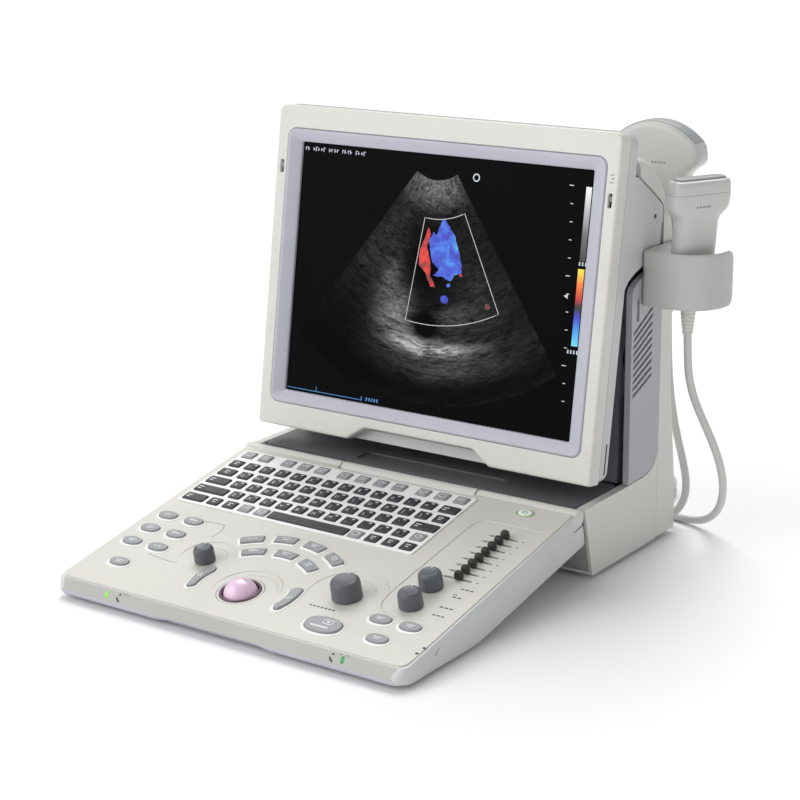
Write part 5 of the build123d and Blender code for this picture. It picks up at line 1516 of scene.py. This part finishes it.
LT_TAB = [(228.4, 9.0, 7.2, 2.2), (233, 13.5, 8.8, 2.3), (240, 17.0, 9.8, 2.5), (255, 19.6, 10.6, 2.7), (275, 20.0, 10.8, 2.8), (290, 20.2, 10.7, 2.9), (298, 20.4, 10.6, 3.0),
          (302, 21.8, 10.8, 3.2), (305, 25.2, 11.2, 3.5), (308, 27.6, 11.6, 3.8), (312, 28.8, 11.9, 4.2), (319, 28.8, 11.9, 4.6), (325, 28.2, 11.8, 5.0), (329.5, 27.6, 11.6, 5.0)]
bm = bmesh.new()
loops = []
zs = [228.4 + (329.5 - 228.4) * i / 46 for i in range(47)]
for z in zs:
    a_, b_, n_ = sample(LT_TAB, z)
    f = lin_place(z)
    loops.append([f(*q) for q in sup(a_, b_, n_)])
for z, a_, b_, n_ in ((331.0, 27.3, 11.2, 5.0), (332.2, 26.7, 10.4, 4.8), (332.9, 25.6, 8.6, 4.5)):
    f = lin_place(z)
    loops.append([f(*q) for q in sup(a_, b_, n_)])
loops_to(bm, loops)
# lens bar along the top
loops = []
for z, a_, b_ in ((331.0, 24.4, 7.0), (333.4, 24.4, 7.0), (334.4, 23.8, 6.4), (335.0, 22.4, 4.8)):
    f = lin_place(z)
    loops.append([f(*q) for q in sup(a_, b_, 5.0)])
loops_to(bm, loops, mat=1)
finish_obj("linear_probe_body", bm, [PROBE, LENSGREY], angle=50, body="main_unit", replaces=("linear_probe",))
# seam line between nose and handle, side ridge and a generic mark
bm = bmesh.new()
z = 321.5
a_, b_, n_ = sample(LT_TAB, z)
for zz, mt in ((321.5, 0),):
    loops = []
    for dz, g in ((-0.28, -0.2), (-0.28, 0.06), (0.28, 0.06), (0.28, -0.2)):
        f = lin_place(zz + dz)
        loops.append([f(*q) for q in sup(a_ + g, b_ + g, n_)])
    loops_to(bm, loops + [loops[0]], cap0=False, cap1=False)
finish_obj("linear_probe_seam", bm, [LENSGREY], angle=50, body="main_unit")
bm = bmesh.new()
f0 = lambda s, zz, o: lin_place(zz)(s, -(sample(LT_TAB, zz)[1] + o))
for j in range(5):
    strip(bm, [(-8.5 + j * 3.0, 311.2), (-6.6 + j * 3.0, 311.2)], 1.7, -0.25, 0.05, f0)
finish_obj("linear_probe_mark", bm, [INK], body="main_unit")
bm = bmesh.new()
loops = []
f1 = lin_place(300.0)
ridge(bm, [(0.0, 292.0 + i * 1.4) for i in range(12)], 2.2, 1.2, lambda s, zz, o: lin_place(zz)(sample(LT_TAB, zz)[0] + o - 0.3, s))
finish_obj("linear_probe_side_rib", bm, [PROBE], angle=60, body="main_unit")

# convex probe, its broad side facing front
CONV_R, CONV_HALF, CONV_TOP = 55.0, 42.6, 370.8


def con_place(x, z, h):
    """Upright probe section, leaning to the left above the cup."""
    lean = 0.0 if z < 262 else 0.145 * (z - 262)
    return U(CON_X + x - min(lean, 13.8), CON_Y + h, z)


bm = bmesh.new()
prof_r = smooth_path([(0.0, 228.4), (8.5, 228.6), (14.5, 232.0), (18.4, 244.0), (20.0, 262.0), (20.4, 288.0), (20.8, 302.0), (22.0, 313.0), (25.6, 322.0), (32.0, 329.0), (38.6, 333.4), (41.8, 337.4), (42.6, 343.0), (42.2, 349.6)], 6)[3:]
t1 = atan2(sqrt(CONV_R ** 2 - 41.2 ** 2), 41.2)
arc_ = [(CONV_R * cos(t1 + (pi / 2 - t1) * i / 20), CONV_TOP - CONV_R + CONV_R * sin(t1 + (pi / 2 - t1) * i / 20)) for i in range(21)]
right_ = prof_r + arc_
oc = right_ + [(-x, z) for x, z in right_[::-1][1:]]
LAYC = [(6.6, -11.9), (3.9, -11.3), (2.0, -10.2), (0.8, -8.4), (0.15, -6.0), (0, -3.0), (0, 3.0), (0.15, 6.0), (0.8, 8.4), (2.0, 10.2), (3.9, 11.3), (6.6, 11.9)]
fill_prism(bm, oc, LAYC, con_place)
finish_obj("convex_probe_body", bm, [PROBE], angle=60, body="main_unit", replaces=("convex_probe",))
bm = bmesh.new()
loops = []
for i in range(41):
    t = t1 + 0.03 + (pi - 2 * t1 - 0.06) * i / 40
    lp = []
    for dr, dy in ((-2.0, -8.9), (-0.5, -8.5), (0.1, -7.4), (0.28, -5.0), (0.34, -2.0), (0.34, 2.0), (0.28, 5.0), (0.1, 7.4), (-0.5, 8.5), (-2.0, 8.9)):
        lp.append(con_place((CONV_R + dr) * cos(t), CONV_TOP - CONV_R + (CONV_R + dr) * sin(t), dy))
    loops.append(lp)
loops_to(bm, loops)
finish_obj("convex_probe_lens", bm, [LENSGREY], angle=60, body="main_unit")
bm = bmesh.new()
for j in range(5):
    strip(bm, [(-4 + j * 3.0, 335.0), (-2.2 + j * 3.0, 335.0)], 1.5, -12.0, -11.86, con_place)
finish_obj("convex_probe_mark", bm, [INK], body="main_unit")

# strain reliefs with rings
for nm, (x, y), nd in (("linear", (LIN_X, LIN_Y), "linear_relief"), ("convex", (CON_X, CON_Y), "convex_relief")):
    bm = bmesh.new()
    pr = [(7.4, 228.3), (7.5, 227.6), (7.5, 226.0)]
    z, r = 225.4, 7.2
    while z > 201.5:
        pr += [(r - 0.45, z), (r - 0.5, z - 0.8), (r, z - 1.3), (r - 0.08, z - 2.6)]
        z -= 3.2
        r -= 0.36
    pr += [(4.6, 201.2), (4.3, 200.0), (3.6, 199.8)]
    lathe(bm, pr, lambda a_, b_, h, x=x, y=y: U(x + a_, y + b_, h), 40)
    finish_obj(nm + "_probe_relief", bm, [RELIEF], angle=45, body="main_unit", replaces=(nd,))

# ------------------------------------------------------------ materials of the CAD parts that stay
KEEP = {"base_shell": IVORY, "front_grille": GRILLE, "deck_cover": DECK, "chassis": FRAMEGREY, "side_panel_right": PANEL, "side_panel_left": PANEL,
        "rear_cover": IVORY, "base_feet": RUBBER, "hinge_pins": STEEL, "battery_pack": BATT, "power_supply": STEEL, "mainboard": BOARD, "fan_frame": DARK,
        "io_panel": STEEL, "linear_connector": CONNECT, "convex_connector": CONNECT, "rear_probe_cup": CUP, "fan_rotor": DARK_AND_RECESS_SHADE, "carry_handle": COOL,
        "display_rear_shell": ARMGREY, "keyboard_feet": RUBBER, "keyboard_pcb": BOARD, "trackball": BALL}
for nm, m_ in KEEP.items():
    me = NODES[nm].data
    me.materials.clear()
    me.materials.append(m_)

# ------------------------------------------------------------ floor and light
FLOOR, nt, p = new_mat("floor")
tc = node(nt, "ShaderNodeTexCoord")
n1 = node(nt, "ShaderNodeTexNoise", Scale=3.0, Detail=3.0, Roughness=0.5)
nt.links.new(tc.outputs["Object"], n1.inputs["Vector"])
rm = ramp(nt, [(0.3, (0.95, 0.95, 0.95)), (0.7, (0.97, 0.97, 0.97))])
nt.links.new(n1.outputs["Fac"], rm.inputs["Fac"])
nt.links.new(rm.outputs["Color"], p.inputs["Base Color"])
p.inputs["Roughness"].default_value = 0.5
me = bpy.data.meshes.new("floor")
me.from_pydata([(-12, -12, -0.0002), (12, -12, -0.0002), (12, 12, -0.0002), (-12, 12, -0.0002)], [], [(0, 1, 2, 3)])
me.materials.append(FLOOR)
floor = bpy.data.objects.new("floor", me)
SCN.collection.objects.link(floor)
floor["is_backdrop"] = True

W = bpy.data.worlds.new("world")
SCN.world = W
W.use_nodes = True
bg = W.node_tree.nodes["Background"]
bg.inputs[0].default_value = (1.0, 1.0, 1.0, 1)
bg.inputs[1].default_value = 0.42


SCN.view_settings.view_transform = "Standard"


def sun(name, direction, spread, power):
    l = bpy.data.lights.new(name, "SUN")
    l.angle = radians(spread)
    l.energy = power
    o = bpy.data.objects.new(name, l)
    o.rotation_euler = Vector(direction).to_track_quat("Z", "Y").to_euler()
    o.location = Vector(direction).normalized() * 3
    SCN.collection.objects.link(o)


sun("top_light", (-0.35, 0.62, 1.0), 46, 1.9)
sun("key_light", (-0.8, -1.0, 0.7), 60, 1.45)

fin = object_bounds()


def plain(b):
    if isinstance(b, dict):
        return {k: plain(v) for k, v in b.items()}
    if hasattr(b, "__len__") and not isinstance(b, str):
        return [plain(v) for v in b]
    return float(b) if not isinstance(b, str) else b


{"cad": plain(CAD_BOX), "visual": plain(fin)}
